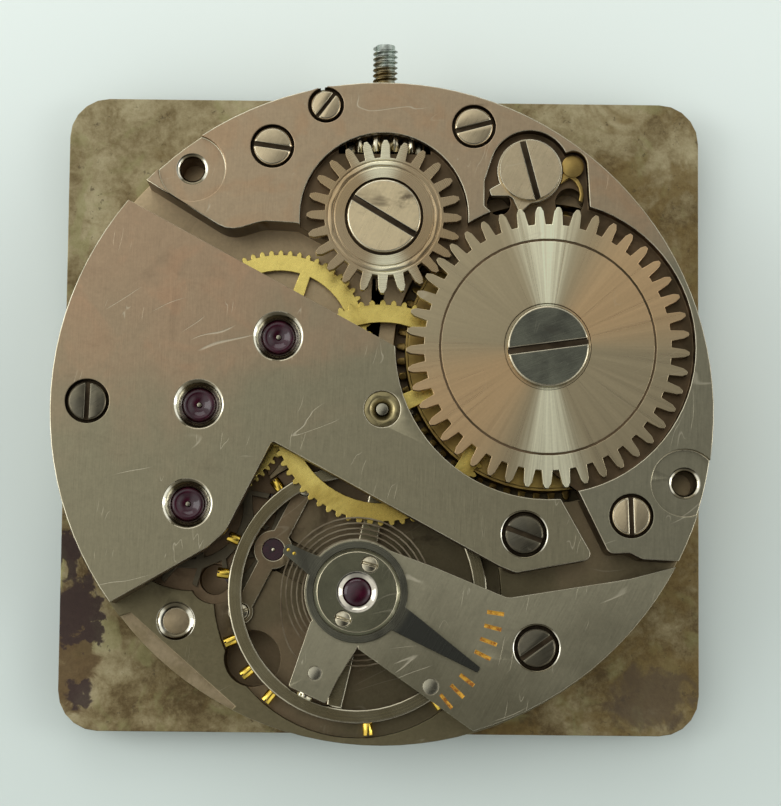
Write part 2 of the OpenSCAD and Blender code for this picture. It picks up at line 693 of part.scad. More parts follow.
// Pockets seen from the dial side
module plate_dial_pockets() {
    under = plate_z - 1;
    rod(hour_pitch + 0.2, under, hour_ceiling_z);
    rod(cannon_pitch + 0.25, under, motion_ceiling_z);
    at(minute_pos) rod(minute_pitch + 0.18, under, motion_ceiling_z);
    at(minute_pos) rod(post_r, under, motion_ceiling_z + 0.35);
    at(setting_pos) rod(setting_pitch + 0.18, under, keyless_ceiling_z - 0.03);
    at(setting_pos) rod(setting_post_r, under, keyless_ceiling_z + 0.3);
    slab(under, keyless_ceiling_z) difference() {
        polygon(rounded([[-4.9, 7.2, 0.5], [1.15, 7.2, 0], [1.15, 9.2, 0.3], [0.6, 10, 0.2],
            [0.6, 11.66, 0.15], [-1.6, 11.55, 0.2], [-2.75, 11.28, 0.3], [-4.3, 10.4, 0.3],
            [-4.9, 9.6, 0.3]]));
        at(jumper_screw_pos) circle(r = jumper_boss_r);
    }
    at(jumper_screw_pos) rod(jumper_boss_r, under, jumper_z + jumper_t);
    at(yoke_pos) rod(post_r, under, keyless_ceiling_z + 0.4);
    at(jumper_screw_pos) rod(small_shank_r, under, keyless_ceiling_z - 0.04);
    translate([-stud_pin_r - 0.12, stem_groove_y - 0.3, under])
        cube([2 * stud_pin_r + 0.24, stem_pull + 0.6, stem_z - under]);
    at(balance_pos) rod(lower_end_r, under, lower_end_z + 0.22);
    at(balance_pos) rod(lower_cap_r, under, escape_floor_z + 1);
}
lower_bush_r = 0.9;
lower_fourth_z = plate_top - 0.65;
lower_third_z = plate_top - 0.6;
lower_escape_z = plate_top - 1.12;
lower_end_r = 0.98;
lower_end_z = plate_z + 0.06;
lower_cap_r = 0.5;
lower_cap_z = lower_end_z + 0.22;
lower_hole_z = lower_cap_z + jewel_t + 0.02;

hour_hub_r = hour_pipe_r + 0.17;

module dial() color("darkkhaki") {
    difference() {
        slab(0, dial_t) polygon(rounded([for (s = [[1, 1], [-1, 1], [-1, -1], [1, -1]])
            [s[0] * dial_w / 2, s[1] * dial_w / 2 + dial_shift, dial_corner_r]]));
        rod(hour_hub_r + 0.14, -1, 1);
        at(fourth_pos) rod(seconds_r + 0.24, -1, 1);
    }
    for (p = dial_feet) at(p) rod(foot_r, dial_t - eps, foot_top_z);
}

module dial_foot_screws() color("dimgray") for (p = dial_feet) foot_screw_place(p)
    difference() {
        rod(foot_screw_r, foot_r, foot_r + 0.6);
        translate([-1, -0.04, foot_r + 0.5]) cube([2, 0.08, 1]);
    }

module bridge_screws() color("silver")
    for (s = concat(barrel_screws, train_screws, cock_screws)) at(s[0], bridge_top + 0.02)
        screw(bridge_screw_r, screw_head_h + 0.02, bridge_shank_r, bridge_screw_len + 0.02,
            0.17, s[1]);

module small_screw(a, len = small_len)
    screw(small_screw_r, small_head_h, small_shank_r, len, 0.08, a);

module small_screws() color("silver") {
    for (a = end_screw_dirs) at(balance_pos + toward(a, end_screw_dist),
        bridge_top + end_piece_t + 0.06) small_screw(a + 100);
    for (p = pallet_feet) at(p, balance_floor_z + 0.16 + small_head_h) small_screw(20);
    stud_screw_place() translate([0, 0, small_head_h])
        small_screw(30, small_head_h + lug_depth - stud_r - 0.02);
    at(jumper_screw_pos, jumper_z - small_head_h) rotate([180, 0, 0])
        small_screw(60, keyless_ceiling_z - 0.05 - jumper_z + small_head_h);
}

// Barrel
module barrel_drum() color("goldenrod") at(barrel_pos) difference() {
    union() {
        rod(drum_r, drum_z, drum_top);
        slab(drum_z + 0.06, drum_z + 0.44)
            polygon(teeth(barrel_teeth, drum_r - 0.05, barrel_pitch, barrel_tip,
                [0.56, 0.44, 0.2], barrel_phase));
    }
    rod(drum_r - drum_wall, drum_z + drum_floor, drum_top + 1);
    rod(arbor_low_r + run_gap, drum_z - 1, drum_top);
    rod(drum_r - drum_wall / 2, drum_top - cover_t, drum_top + 1);
}
barrel_phase = heading(barrel_pos, [0, 0]);

module barrel_cover() color("gold") at(barrel_pos) difference() {
    rod(drum_r - drum_wall / 2, drum_top - cover_t, drum_top);
    rod(arbor_top_r + run_gap, drum_z, drum_top + 1);
    rotate(200) translate([drum_r - 0.62, -0.35, drum_z]) cube([1, 0.7, drum_top]);
}

module barrel_arbor() color("lightsteelblue") at(barrel_pos) difference() {
    union() {
        turned([[arbor_low_r, plate_z + 0.2, drum_z + drum_floor + 0.03],
            [core_r, drum_z + drum_floor + 0.03, drum_top - cover_t - 0.03],
            [arbor_top_r, drum_top - cover_t - 0.03, recess_z + 0.02]]);
        translate([-arbor_square / 2, -arbor_square / 2, recess_z])
            cube([arbor_square, arbor_square, ratchet_t - 0.06]);
    }
    rod(ratchet_shank_r, recess_z - 1, bridge_top + 1);
}
ratchet_shank_r = 0.35;

module mainspring() color("steelblue") at(barrel_pos)
    slab(drum_z + drum_floor + 0.05, drum_top - cover_t - 0.05)
        polygon(strip(mainspring_line, mainspring_t));
mainspring_steps = 24;
mainspring_line = spiral(core_r + mainspring_t / 2 + 0.02,
    drum_r - drum_wall - mainspring_t / 2 - 0.01, mainspring_turns, 80, mainspring_steps);
echo(str("mainspring least gap to itself: ",
    least_gap(mainspring_line, mainspring_t, mainspring_steps)));

module ratchet_wheel() color("lightsteelblue") at(barrel_pos) difference() {
    slab(recess_z + 0.04, recess_z + 0.04 + ratchet_t) polygon(teeth(ratchet_teeth,
        ratchet_root, ratchet_pitch, ratchet_tip, [0.62, 0.42, 0.16], ratchet_phase));
    translate([-arbor_square / 2, -arbor_square / 2, recess_z - 1])
        cube([arbor_square, arbor_square, 4]);
    rod(ratchet_screw_r + 0.1, recess_z + ratchet_t - 0.02, bridge_top + 1);
    face_groove(3.78, 3.86, recess_z + ratchet_t + 0.04);
}
ratchet_phase = heading(barrel_pos, crown_pos);
ratchet_screw_r = 1.45;

// Narrow turned groove in a wheel's upper face
module face_groove(r0, r1, top) translate([0, 0, top - 0.04]) difference() {
    cylinder(r = r1, h = 1);
    translate([0, 0, -1]) cylinder(r = r0, h = 3);
}

module ratchet_screw() color("dimgray") at(barrel_pos, bridge_top + 0.12)
    screw(ratchet_screw_r, bridge_top + 0.12 - (recess_z + ratchet_t - 0.02),
        ratchet_shank_r, 1.2, 0.22, 8);

module crown_wheel() color("lightsteelblue") at(crown_pos) difference() {
    slab(recess_z + 0.04, recess_z + 0.04 + crown_t) polygon(teeth(crown_teeth,
        crown_root, crown_pitch, crown_tip, [0.62, 0.42, 0.16], crown_phase));
    rod(1 + run_gap, recess_z - 1, bridge_top + 1);
    rod(1.38 + run_gap, recess_z + 0.28, bridge_top + 1);
    face_groove(1.76, 1.84, recess_z + crown_t + 0.04);
    face_groove(1.98, 2.04, recess_z + crown_t + 0.04);
}
crown_phase = mesh_phase(barrel_pos, crown_pos, ratchet_teeth, ratchet_phase, crown_teeth);

module crown_wheel_core() color("silver") at(crown_pos) difference() {
    turned([[1, recess_z, recess_z + 0.3], [1.38, recess_z + 0.3, recess_z + 0.4]]);
    rod(0.3, recess_z - 1, bridge_top + 1);
}

module crown_wheel_screw() color("silver") at(crown_pos, bridge_top + 0.06)
    screw(1.31, bridge_top + 0.06 - recess_z - 0.4, 0.3, bridge_top + 0.06 - bridge_z,
        0.2, -31);

// Click work on the barrel bridge
click_tip = [-0.36, -1.45];
click_screw_r = 1.09;
module click_outline() {
    circle(r = 1.16);
    polygon(rounded([[-0.75, -0.7, 0], [-0.5, -1.2, 0.2], [click_tip[0] - 0.03, click_tip[1], 0],
        [click_tip[0] + 0.12, click_tip[1] + 0.02, 0], [0.12, -1.1, 0.1], [0.3, -0.6, 0]]));
    polygon(rounded([[-0.6, -0.2, 0], [-1.45, -0.68, 0.08], [-1.36, -0.92, 0.08],
        [-0.5, -0.9, 0]]));
}
module click() color("silver") at(click_pos) difference() {
    slab(recess_z + 0.04, recess_z + 0.38) click_outline();
    rod(0.45 + run_gap, recess_z - 1, bridge_top);
}
module click_recess_outline() {
    at(click_pos) circle(r = 1.42);
    at(click_pos) polygon([[-1.36, 0.4], [-1.62, -0.4], [-1.62, -1.3], [-0.6, -2.2],
        [1.2, -2.2], [1.3, 0]]);
    at(spring_foot) circle(r = 0.5);
    polygon(ccw([spring_foot + [0.5, 0], spring_foot + [0.62, -1.9], spring_foot + [-0.7, -1.9],
        spring_foot + [-0.5, 0]]));
}
spring_foot = [6.72, 8.8];
// Round openings through the floor beside the click: place and radius
click_windows = [[4.1, 7.48, 0.42], [6.62, 7.55, 0.5]];
module click_spring() color("gold") difference() {
    union() {
        slab(recess_z, recess_z + 0.3) at(spring_foot) circle(r = 0.4);
        slab(recess_z + 0.04, recess_z + 0.26) polygon(concat(
            [for (a = [-20 : 20 : 80]) spring_foot + [-0.42, -1] + toward(a, 0.82)],
            [spring_foot + [-0.9, -0.85], spring_foot + [-0.95, -0.98]],
            [for (a = [60 : -20 : -20]) spring_foot + [-0.42, -1] + toward(a, 0.68)]));
    }
    at(click_pos) rod(1.18, recess_z - 1, bridge_top);
}
module click_screw() color("silver") at(click_pos) difference() {
    turned([[0.3, bridge_z + 0.02, recess_z], [0.45, recess_z, recess_z + 0.4],
        [click_screw_r, recess_z + 0.4, bridge_top + 0.07]]);
    rotate(-75) translate([-2, -0.1, bridge_top - 0.08]) cube([4, 0.2, 1]);
}

// Going train
module centre_wheel() color("gold") slab(centre_wheel_z, centre_wheel_z + wheel_t)
    spoked(teeth(centre_teeth, centre_pitch - train_ded, centre_pitch, centre_tip,
        [0.56, 0.46, 0.16]), 3.25, 0.95, centre_seat_r, 4, 0.5, 25);
centre_seat_r = 0.5;
centre_low_r = 0.4;
centre_arbor_r = 0.2;
centre_top_r = 0.21;
centre_phase = mesh_phase(barrel_pos, [0, 0], barrel_teeth, barrel_phase, centre_leaves);

module centre_arbor() color("lightsteelblue") {
    turned([[centre_arbor_r, -cannon_reach + 0.2, motion_ceiling_z - 0.02],
        [centre_low_r, motion_ceiling_z - 0.02, pinion_floor_z + 0.04],
        [centre_seat_r, pinion_floor_z + 0.04, centre_wheel_z + wheel_t],
        [0.35, centre_wheel_z + wheel_t, bridge_z + 0.03],
        [centre_top_r, bridge_z + 0.03, bridge_top - 0.08]]);
    slab(pinion_floor_z + 0.07, pinion_floor_z + 0.67)
        polygon(leaves(centre_leaves, centre_pinion_pitch, centre_phase));
}

module centre_bushes() color("goldenrod") {
    difference() {
        rod(centre_bush_r, bridge_z + 0.05, bridge_top - 0.05);
        rod(centre_top_r + run_gap, bridge_z - 1, bridge_top + 1);
        translate([0, 0, bridge_top - 0.25]) cylinder(r1 = centre_top_r + run_gap, r2 = 0.48, h = 0.25);
    }
    difference() {
        rod(lower_bush_r, motion_ceiling_z, pinion_floor_z);
        rod(centre_low_r + run_gap, plate_z, plate_top);
    }
}

module third_wheel() color("gold") at(third_pos)
    slab(third_wheel_z, third_wheel_z + wheel_t)
        spoked(teeth(third_teeth, third_pitch - train_ded, third_pitch, third_tip,
            [0.56, 0.46, 0.16]), 2.58, 0.75, arbor_r, 4, 0.4, 70);
arbor_r = 0.2;
third_phase = mesh_phase([0, 0], third_pos, centre_teeth, 0, third_leaves);

module third_arbor() color("lightsteelblue") at(third_pos) {
    turned([[pivot_r, lower_third_z + 0.02, lower_third_z + jewel_t + 0.02],
        [arbor_r, lower_third_z + jewel_t + 0.02, upper_jewel_z - 0.02],
        [pivot_r, upper_jewel_z - 0.02, upper_jewel_z + jewel_t - 0.02]]);
    slab(third_wheel_z + wheel_t + 0.06, centre_wheel_z + wheel_t + 0.15)
        polygon(leaves(third_leaves, third_pinion_pitch, third_phase));
}

module fourth_wheel() color("gold") at(fourth_pos)
    slab(fourth_wheel_z, fourth_wheel_z + wheel_t)
        spoked(teeth(fourth_teeth, fourth_pitch - train_ded, fourth_pitch, fourth_tip,
            [0.56, 0.46, 0.16]), 2.6, 0.7, arbor_r, 4, 0.38, 30);
fourth_phase = mesh_phase(third_pos, fourth_pos, third_teeth, 0, fourth_leaves);

module fourth_arbor() color("lightsteelblue") at(fourth_pos) {
    turned([[seconds_r - 0.02, -cannon_reach, hand_seat - cannon_reach],
        [seconds_r, hand_seat - cannon_reach, lower_fourth_z + jewel_t + 0.02],
        [arbor_r, lower_fourth_z + jewel_t + 0.02, upper_jewel_z - 0.02],
        [pivot_r, upper_jewel_z - 0.02, upper_jewel_z + jewel_t - 0.02]]);
    slab(fourth_wheel_z + wheel_t + 0.08, third_wheel_z + wheel_t + 0.1)
        polygon(leaves(fourth_leaves, fourth_pinion_pitch, fourth_phase));
}

// Club teeth of the escape wheel: locking corner, impulse face, heel and back of each
function club_teeth(phase) = [for (i = [0 : escape_teeth - 1])
    for (p = [[7, escape_r - 0.68], [2, escape_r - 0.14], [5.4, escape_r],
        [6.6, escape_r - 0.16], [11.5, escape_r - 0.64]])
    let (a = phase + 360 / escape_teeth * i + p[0]) p[1] * [cos(a), sin(a)]];

module escape_wheel() color("lightsteelblue") at(escape_pos)
    slab(escape_wheel_z, escape_wheel_z + fork_t)
        spoked(club_teeth(escape_wheel_phase), 1.85, 0.6, arbor_r, 4, 0.3, 10);
escape_wheel_phase = line_angle + 8;
escape_pinion_phase = mesh_phase(fourth_pos, escape_pos, fourth_teeth, 0, escape_leaves);

module escape_arbor() color("lightsteelblue") at(escape_pos) {
    turned([[pivot_r, lower_escape_z + 0.02, lower_escape_z + jewel_t + 0.02],
        [arbor_r, lower_escape_z + jewel_t + 0.02, upper_jewel_z - 0.02],
        [pivot_r, upper_jewel_z - 0.02, upper_jewel_z + jewel_t - 0.02]]);
    slab(fourth_wheel_z - 0.1, fourth_wheel_z + 0.5)
        polygon(leaves(escape_leaves, escape_pinion_pitch, escape_pinion_phase));
}

module train_jewels() color("crimson") {
    for (p = [third_pos, fourth_pos, escape_pos])
        at(p) jewel(train_jewel_r, pivot_r + run_gap, upper_jewel_z);
    at(third_pos) jewel(0.38, pivot_r + run_gap, lower_third_z, false);
    at(fourth_pos) jewel(0.45, seconds_r + run_gap, lower_fourth_z, false);
    at(escape_pos) jewel(0.45, pivot_r + run_gap, lower_escape_z, false);
    at(pallet_pos) jewel(pallet_jewel_r, staff_pivot_r + run_gap, lower_escape_z, false);
    at(pallet_pos) rod_ring(pallet_jewel_r, staff_pivot_r + run_gap, balance_floor_z,
        balance_floor_z + 0.25);
}

module rod_ring(r, bore, z0, z1) difference() {
    rod(r, z0, z1);
    rod(bore, z0 - 1, z1 + 1);
}

// Lever: local +X runs from the pallet arbor to the balance
stone_pos = [for (s = [-1, 1]) [-escape_r / cos(30) + escape_r * cos(stone_angle),
    s * escape_r * sin(stone_angle)]];
module stone_outline(s) translate(stone_pos[s > 0 ? 1 : 0]) rotate(s * 24)
    translate([0, s * 0.1]) square([0.2, 0.55], center = true);

module pallet_fork() color("silver") at(pallet_pos) rotate(line_angle) difference() {
    slab(escape_wheel_z, escape_wheel_z + fork_t) {
        circle(r = 0.42);
        for (s = [-1, 1]) polygon(ccw([[0.3, s * 0.1], [0.02, s * 1.3], [-0.1, s * 1.84],
            [-0.62, s * 1.95], [-0.78, s * 1.62], [-0.52, s * 1.2], [-0.35, s * 0.2]]));
        polygon([[0, -0.2], [2.2, -0.11], [2.5, -0.3], [notch_x + 0.16, -0.34],
            [notch_x + 0.16, 0.34], [2.5, 0.3], [2.2, 0.11], [0, 0.2]]);
    }
    rod(pallet_arbor_r, escape_wheel_z - 1, escape_wheel_z + 1);
    slab(escape_wheel_z - 1, escape_wheel_z + 1) {
        translate([notch_x + 0.3, 0]) square([0.9, 2 * roller_pin_r + 0.04], center = true);
        polygon(ccw([[notch_x + 0.02, 0.12], [notch_x + 0.5, 0.3], [notch_x + 0.5, -0.3],
            [notch_x + 0.02, -0.12]]));
        for (s = [-1, 1]) stone_outline(s);
    }
}
pallet_arbor_r = 0.14;
notch_x = norm(balance_pos - pallet_pos) - roller_pin_dist - 0.06;

module pallet_stones() color("crimson") at(pallet_pos) rotate(line_angle)
    slab(escape_wheel_z - 0.02, escape_wheel_z + fork_t + 0.02)
        for (s = [-1, 1]) stone_outline(s);

module pallet_arbor() color("lightsteelblue") at(pallet_pos)
    turned([[staff_pivot_r, lower_escape_z + 0.02, lower_escape_z + jewel_t + 0.02],
        [pallet_arbor_r, lower_escape_z + jewel_t + 0.02, balance_floor_z - 0.02],
        [staff_pivot_r, balance_floor_z - 0.02, balance_floor_z + 0.23]]);

// Balance
rim_screw_dirs = [-8, 21, 36, 50, 95, 127, 156.6];
module rim_screw_places() for (half = [0, 180], a = rim_screw_dirs)
    at(balance_pos, rim_z + rim_h / 2) rotate([0, 90, a + half]) children();

module balance_wheel() color("lightgray") difference() {
    at(balance_pos) {
        rod_ring(rim_r, rim_r - rim_w, rim_z, rim_z + rim_h);
        slab(arm_z, arm_z + arm_t) rotate(balance_angle) difference() {
            union() {
                circle(r = 0.75);
                for (s = [0, 180]) rotate(s) polygon([[0, -0.42], [rim_r - rim_w / 2, -0.26],
                    [rim_r - rim_w / 2, 0.26], [0, 0.42]]);
            }
            circle(r = staff_seat_r);
        }
    }
    rim_screw_places() rod(rim_thread_r, rim_r - 0.3, rim_r + 1);
}
staff_seat_r = 0.3;
rim_thread_r = 0.09;

module balance_screws() color("gold") rim_screw_places() difference() {
    turned([[rim_thread_r, rim_r - 0.3, rim_r], [rim_screw_r, rim_r, rim_r + rim_screw_head]]);
    translate([-1, -0.03, rim_r + rim_screw_head - 0.08]) cube([2, 0.06, 1]);
}

module balance_staff() color("lightsteelblue") at(balance_pos)
    turned([[staff_pivot_r, lower_cap_z + jewel_t + 0.01, lower_hole_z + jewel_t + 0.02],
        [0.14, lower_hole_z + jewel_t + 0.02, roller_z - 0.21],
        [staff_r, roller_z - 0.21, arm_z - 0.1], [0.45, arm_z - 0.1, arm_z],
        [staff_seat_r, arm_z, arm_z + arm_t], [staff_r, arm_z + arm_t, bridge_z],
        [0.12, bridge_z, upper_hole_z - 0.02],
        [staff_pivot_r, upper_hole_z - 0.02, upper_cap_z - 0.01]]);
upper_hole_z = bridge_z + 0.34;
upper_cap_z = upper_hole_z + jewel_t + 0.02;

module roller_table() color("lightsteelblue") at(balance_pos) difference() {
    turned([[0.38, roller_z - 0.21, roller_z], [roller_r, roller_z, roller_z + 0.16]]);
    rod(staff_r, roller_z - 1, roller_z + 1);
    rotate(impulse_dir) translate([roller_pin_dist, 0, 0])
        rod(roller_pin_r, roller_z - 1, roller_z + 1);
}

module roller_jewel() color("crimson") at(balance_pos) rotate(impulse_dir)
    translate([roller_pin_dist, 0, 0]) rod(roller_pin_r, escape_wheel_z - 0.01, roller_z + 0.16);

// The spring winds out to the curb pins, follows their circle and swings out to its stud
collet_r = 0.45;
curb_range = [-14, 29];
hairspring_steps = 24;
hairspring_line = concat(
    spiral(collet_r + hairspring_t / 2 + 0.015, hairspring_r, hairspring_turns,
        curb_dir + curb_range[0], hairspring_steps),
    [for (k = [1 : 6]) [curb_dir + curb_range[0] + (curb_range[1] - curb_range[0]) * k / 6,
        hairspring_r]],
    [for (k = [1 : 6]) let (from = curb_dir + curb_range[1])
        [from + (stud_dir - 4.8 - from) * k / 6,
        hairspring_r + (stud_dist - hairspring_r) * (1 - cos(30 * k)) / 2]]);
echo(str("hairspring least gap to itself: ",
    least_gap(hairspring_line, hairspring_t, hairspring_steps)));
module hairspring() color("midnightblue") at(balance_pos)
    slab(spring_z, spring_z + spring_h) polygon(strip(hairspring_line, hairspring_t));

module collet() color("goldenrod") at(balance_pos) difference() {
    rod(collet_r, spring_z - 0.04, spring_z + spring_h + 0.04);
    rod(staff_r, spring_z - 1, spring_z + 1);
    rotate(20) translate([0, -0.03, spring_z - 1]) cube([1, 0.06, 2]);
}

module stud() color("silver") at(stud_pos) rod(stud_r, spring_z - 0.06, bridge_top + 0.03);

module regulator() color("slategray") at(balance_pos)
    slab(bridge_top + 0.01, bridge_top + 0.01 + regulator_t) difference() {
        union() {
            circle(r = regulator_ring_r + 0.24);
            rotate(regulator_dir) polygon(rounded([[1.3, -0.5, 0], [2.2, -0.42, 0.5],
                [5.05, -0.1, 0.06], [5.05, 0.1, 0.06], [2.2, 0.42, 0.5], [1.3, 0.5, 0]]));
            rotate(curb_dir) polygon(rounded([[1.3, -0.45, 0], [2.3, -0.28, 0.1],
                [2.98, -0.2, 0.15], [2.98, 0.2, 0.15], [2.3, 0.28, 0.1], [1.3, 0.45, 0]]));
        }
        circle(r = regulator_ring_r);
        rotate(curb_dir) for (s = [-1, 1])
            translate([hairspring_r + s * curb_offset, 0]) circle(r = curb_pin_r);
    }
curb_pin_r = 0.06;
curb_offset = 0.12;

module curb_pins() color("gold") at(balance_pos) rotate(curb_dir) for (s = [-1, 1])
    translate([hairspring_r + s * curb_offset, 0, 0])
        rod(curb_pin_r, spring_z - 0.04, bridge_top + 0.01 + regulator_t);

module end_piece() color("gainsboro") at(balance_pos) difference() {
    rotate_extrude() polygon([[0, bridge_top], [end_piece_r, bridge_top],
        [end_piece_r, bridge_top + end_piece_t * 0.6],
        [end_piece_r - 0.12, bridge_top + end_piece_t], [0, bridge_top + end_piece_t]]);
    rod(cap_r, bridge_z, bridge_top + 1);
    translate([0, 0, bridge_top + end_piece_t - 0.12]) cylinder(r1 = cap_r, r2 = 0.74, h = 0.12 + eps);
    for (a = end_screw_dirs) translate(toward(a, end_screw_dist)) {
        rod(small_shank_r, bridge_z, bridge_top + 1);
        rod(small_screw_r + 0.02, bridge_top + end_piece_t + 0.06 - small_head_h, bridge_top + 1);
    }
}

module balance_jewels() color("crimson") at(balance_pos) {
    rod_ring(cap_r, staff_pivot_r + run_gap, upper_hole_z, upper_hole_z + jewel_t);
    rod(cap_r, upper_cap_z, bridge_top + end_piece_t - 0.12);
    rod(lower_cap_r, lower_cap_z, lower_cap_z + jewel_t);
    rod_ring(lower_cap_r, staff_pivot_r + run_gap, lower_hole_z, lower_hole_z + jewel_t);
}

module lower_end_plate() color("silver") at(balance_pos)
    rod(lower_end_r, lower_end_z, lower_end_z + 0.22);

// Winding and setting work
module winding_stem() color("silver") difference() {
    union() {
        along_stem(pilot_r, pilot_y0, square_y0 + eps);
        translate([-stem_square / 2, square_y0, stem_z - stem_square / 2])
            cube([stem_square, winding_y0 - square_y0 + eps, stem_square]);
        along_stem(stem_seat_r, winding_y0, winding_y1 + 0.02);
        along_stem(stem_r, winding_y1 + 0.02, stem_neck_y);
        along_stem(stem_thread_r, stem_neck_y - eps, stem_neck_y + stem_thread_len);
    }
    difference() {
        along_stem(stem_r + 1, stem_groove_y - stud_pin_r - 0.05, stem_groove_y + stud_pin_r + 0.05);
        along_stem(stem_groove_r, 0, plate_r);
    }
}
stem_neck_y = plate_r + 0.1;

module winding_pinion() color("lightsteelblue") difference() {
    translate([0, winding_y1, stem_z]) rotate([90, 0, 0])
        linear_extrude(winding_y1 - winding_y0) polygon(teeth(winding_teeth,
            winding_root, winding_pitch, winding_tip, [0.6, 0.42, 0.2], winding_phase));
    along_stem(stem_seat_r + run_gap, winding_y0 - 1, winding_y1 + 1);
}
crown_offset = (crown_phase - 90) % (360 / crown_teeth);
winding_phase = 90 + (crown_offset + 180 / crown_teeth) * crown_teeth / winding_teeth;

module sliding_pinion() color("lightsteelblue") difference() {
    along_stem(sliding_r, sliding_y0, sliding_y1);
    difference() {
        along_stem(sliding_r + 1, groove_y - groove_w / 2, groove_y + groove_w / 2);
        along_stem(groove_r, 0, plate_r);
    }
    translate([-stem_square / 2 - run_gap, sliding_y0 - 1, stem_z - stem_square / 2 - run_gap])
        cube([stem_square + 2 * run_gap, 4, stem_square + 2 * run_gap]);
    for (i = [0 : 11]) translate([0, 0, stem_z]) rotate([0, 30 * i, 0]) {
        translate([0.55, sliding_y0 - 1, -0.11]) cube([1, 1.16, 0.22]);
        translate([0.55, sliding_y1 - 0.12, -0.11]) cube([1, 1, 0.22]);
    }
}

module setting_lever() color("silver") difference() {
    union() {
        slab(lever_z, lever_z + lever_t) {
            at(lever_pos) circle(r = 0.45);
            polygon(rounded([[lever_pos[0] - 0.1, lever_pos[1] + 0.35, 0],
                [0.1, stem_groove_y + 0.22, 0.25], [0.25, stem_groove_y - 0.24, 0.2],
                [lever_pos[0] + 0.3, lever_pos[1] - 0.5, 0.1],
                [lever_pos[0] - 0.62, lever_pos[1] - 1.75, 0.2],
                [lever_pos[0] - 0.98, lever_pos[1] - 1.6, 0.15],
                [lever_pos[0] - 0.5, lever_pos[1], 0]]));
        }
        translate([0, stem_groove_y, 0])
            rod(stud_pin_r, lever_z + lever_t - eps, stem_z - stem_groove_r - 0.04);
    }
    at(lever_pos) rod(lever_pin_r + run_gap, lever_z - 1, lever_z + 1);
}

module setting_lever_screw() color("silver") at(lever_pos, bridge_top + 0.02)
    screw(0.53, screw_head_h + 0.02, lever_pin_r, bridge_top + 0.02 - lever_z, 0.13, 53);

module yoke() color("silver") difference() {
    slab(lever_z, lever_z + lever_t) {
        at(yoke_pos) circle(r = 0.48);
        polygon(rounded([[yoke_pos[0] - 0.9, yoke_pos[1] + 0.12, 0.1],
            [yoke_pos[0], yoke_pos[1] + 0.45, 0.2], [-1.2, groove_y + 0.12, 0.2],
            [-0.75, groove_y + 0.08, 0], [0.15, groove_y + 0.08, 0], [0.15, groove_y - 0.08, 0],
            [-0.75, groove_y - 0.08, 0], [-1.3, groove_y - 0.25, 0.2],
            [yoke_pos[0], yoke_pos[1] - 0.45, 0.3], [yoke_pos[0] - 0.9, yoke_pos[1] - 0.2, 0.1]]));
    }
    at(yoke_pos) rod(post_r + run_gap, lever_z - 1, lever_z + 1);
}

// Both springs of the keyless work sit on one boss, under one screw
module yoke_spring() color("silver") slab(jumper_z + jumper_t, lever_z + 0.24) difference() {
    union() {
        at(jumper_screw_pos) circle(r = jumper_boss_r + 0.18);
        polygon(ccw([[-4.3, 9.6], [-4.53, 9.4], [-4.5, 8.5], [-4.42, 8.42], [-4.34, 8.5],
            [-4.36, 9.1], [-4, 9.5]]));
    }
    at(jumper_screw_pos) circle(r = jumper_boss_r);
}

module setting_lever_spring() color("silver") slab(jumper_z, jumper_z + jumper_t) difference() {
    union() {
        at(jumper_screw_pos) circle(r = 0.48);
        polygon(rounded([[-3.6, 9.7, 0], [-4.4, 9.7, 0], [-4.7, 8.8, 0.3], [-4.6, 7.6, 0.25],
            [-3.1, 7.5, 0.4], [-2.2, 8.2, 0.3], [-1.9, 9.2, 0], [-2.1, 9.3, 0],
            [-2.6, 8.45, 0.2], [-3.2, 8.2, 0.2], [-3.9, 8.4, 0.2]]));
    }
    at(jumper_screw_pos) circle(r = small_shank_r);
}

module setting_wheel() color("silver") at(setting_pos) difference() {
    slab(minute_z, keyless_ceiling_z - 0.15) polygon(teeth(setting_teeth, setting_pitch - 0.11,
        setting_pitch, setting_pitch + 0.05, [0.56, 0.44, 0.16], setting_phase));
    rod(setting_post_r + run_gap, 0, plate_top);
}
minute_phase = mesh_phase([0, 0], minute_pos, cannon_leaves, 0, minute_teeth);
setting_phase = mesh_phase(minute_pos, setting_pos, minute_teeth, minute_phase, setting_teeth);

module minute_wheel() color("gold") at(minute_pos) difference() {
    union() {
        slab(minute_z, minute_z + wheel_t) polygon(teeth(minute_teeth, minute_pitch - 0.11,
            minute_pitch, minute_pitch + 0.05, [0.56, 0.44, 0.16], minute_phase));
        slab(hour_z, minute_z + eps) polygon(leaves(minute_leaves, minute_pinion_pitch, 0));
    }
    rod(post_r + run_gap, 0, plate_top);
}

module cannon_pinion() color("silver") difference() {
    union() {
        turned([[cannon_r, -cannon_reach, waist_z],
            [cannon_r - waist_depth, waist_z, waist_z + waist_len],
            [cannon_r, waist_z + waist_len, minute_z]]);
        slab(minute_z, minute_z + wheel_t) polygon(leaves(cannon_leaves, cannon_pitch, 0));
    }
    rod(centre_arbor_r, -cannon_reach - 1, minute_z + 1);
}
// The cannon pinion's tube is waisted behind the seat of the minute hand
waist_z = hand_seat - cannon_reach;
waist_len = 0.56;
waist_depth = 0.16;
// The hour hand's seat ends at a shoulder just in front of the dial
hour_pipe_z = waist_z + 0.05;
hour_shoulder_z = -0.05;
hour_phase = mesh_phase(minute_pos, [0, 0], minute_leaves, 0, hour_teeth);

module hour_wheel() color("gold") difference() {
    union() {
        slab(hour_z, hour_z + wheel_t) polygon(teeth(hour_teeth, hour_pitch - 0.11, hour_pitch,
            hour_pitch + 0.05, [0.56, 0.44, 0.16], hour_phase));
        turned([[hour_pipe_r, hour_pipe_z, hour_shoulder_z],
            [hour_hub_r, hour_shoulder_z, hour_z + eps]]);
    }
    rod(cannon_r + run_gap, -cannon_reach - 1, hour_z + 1);
}

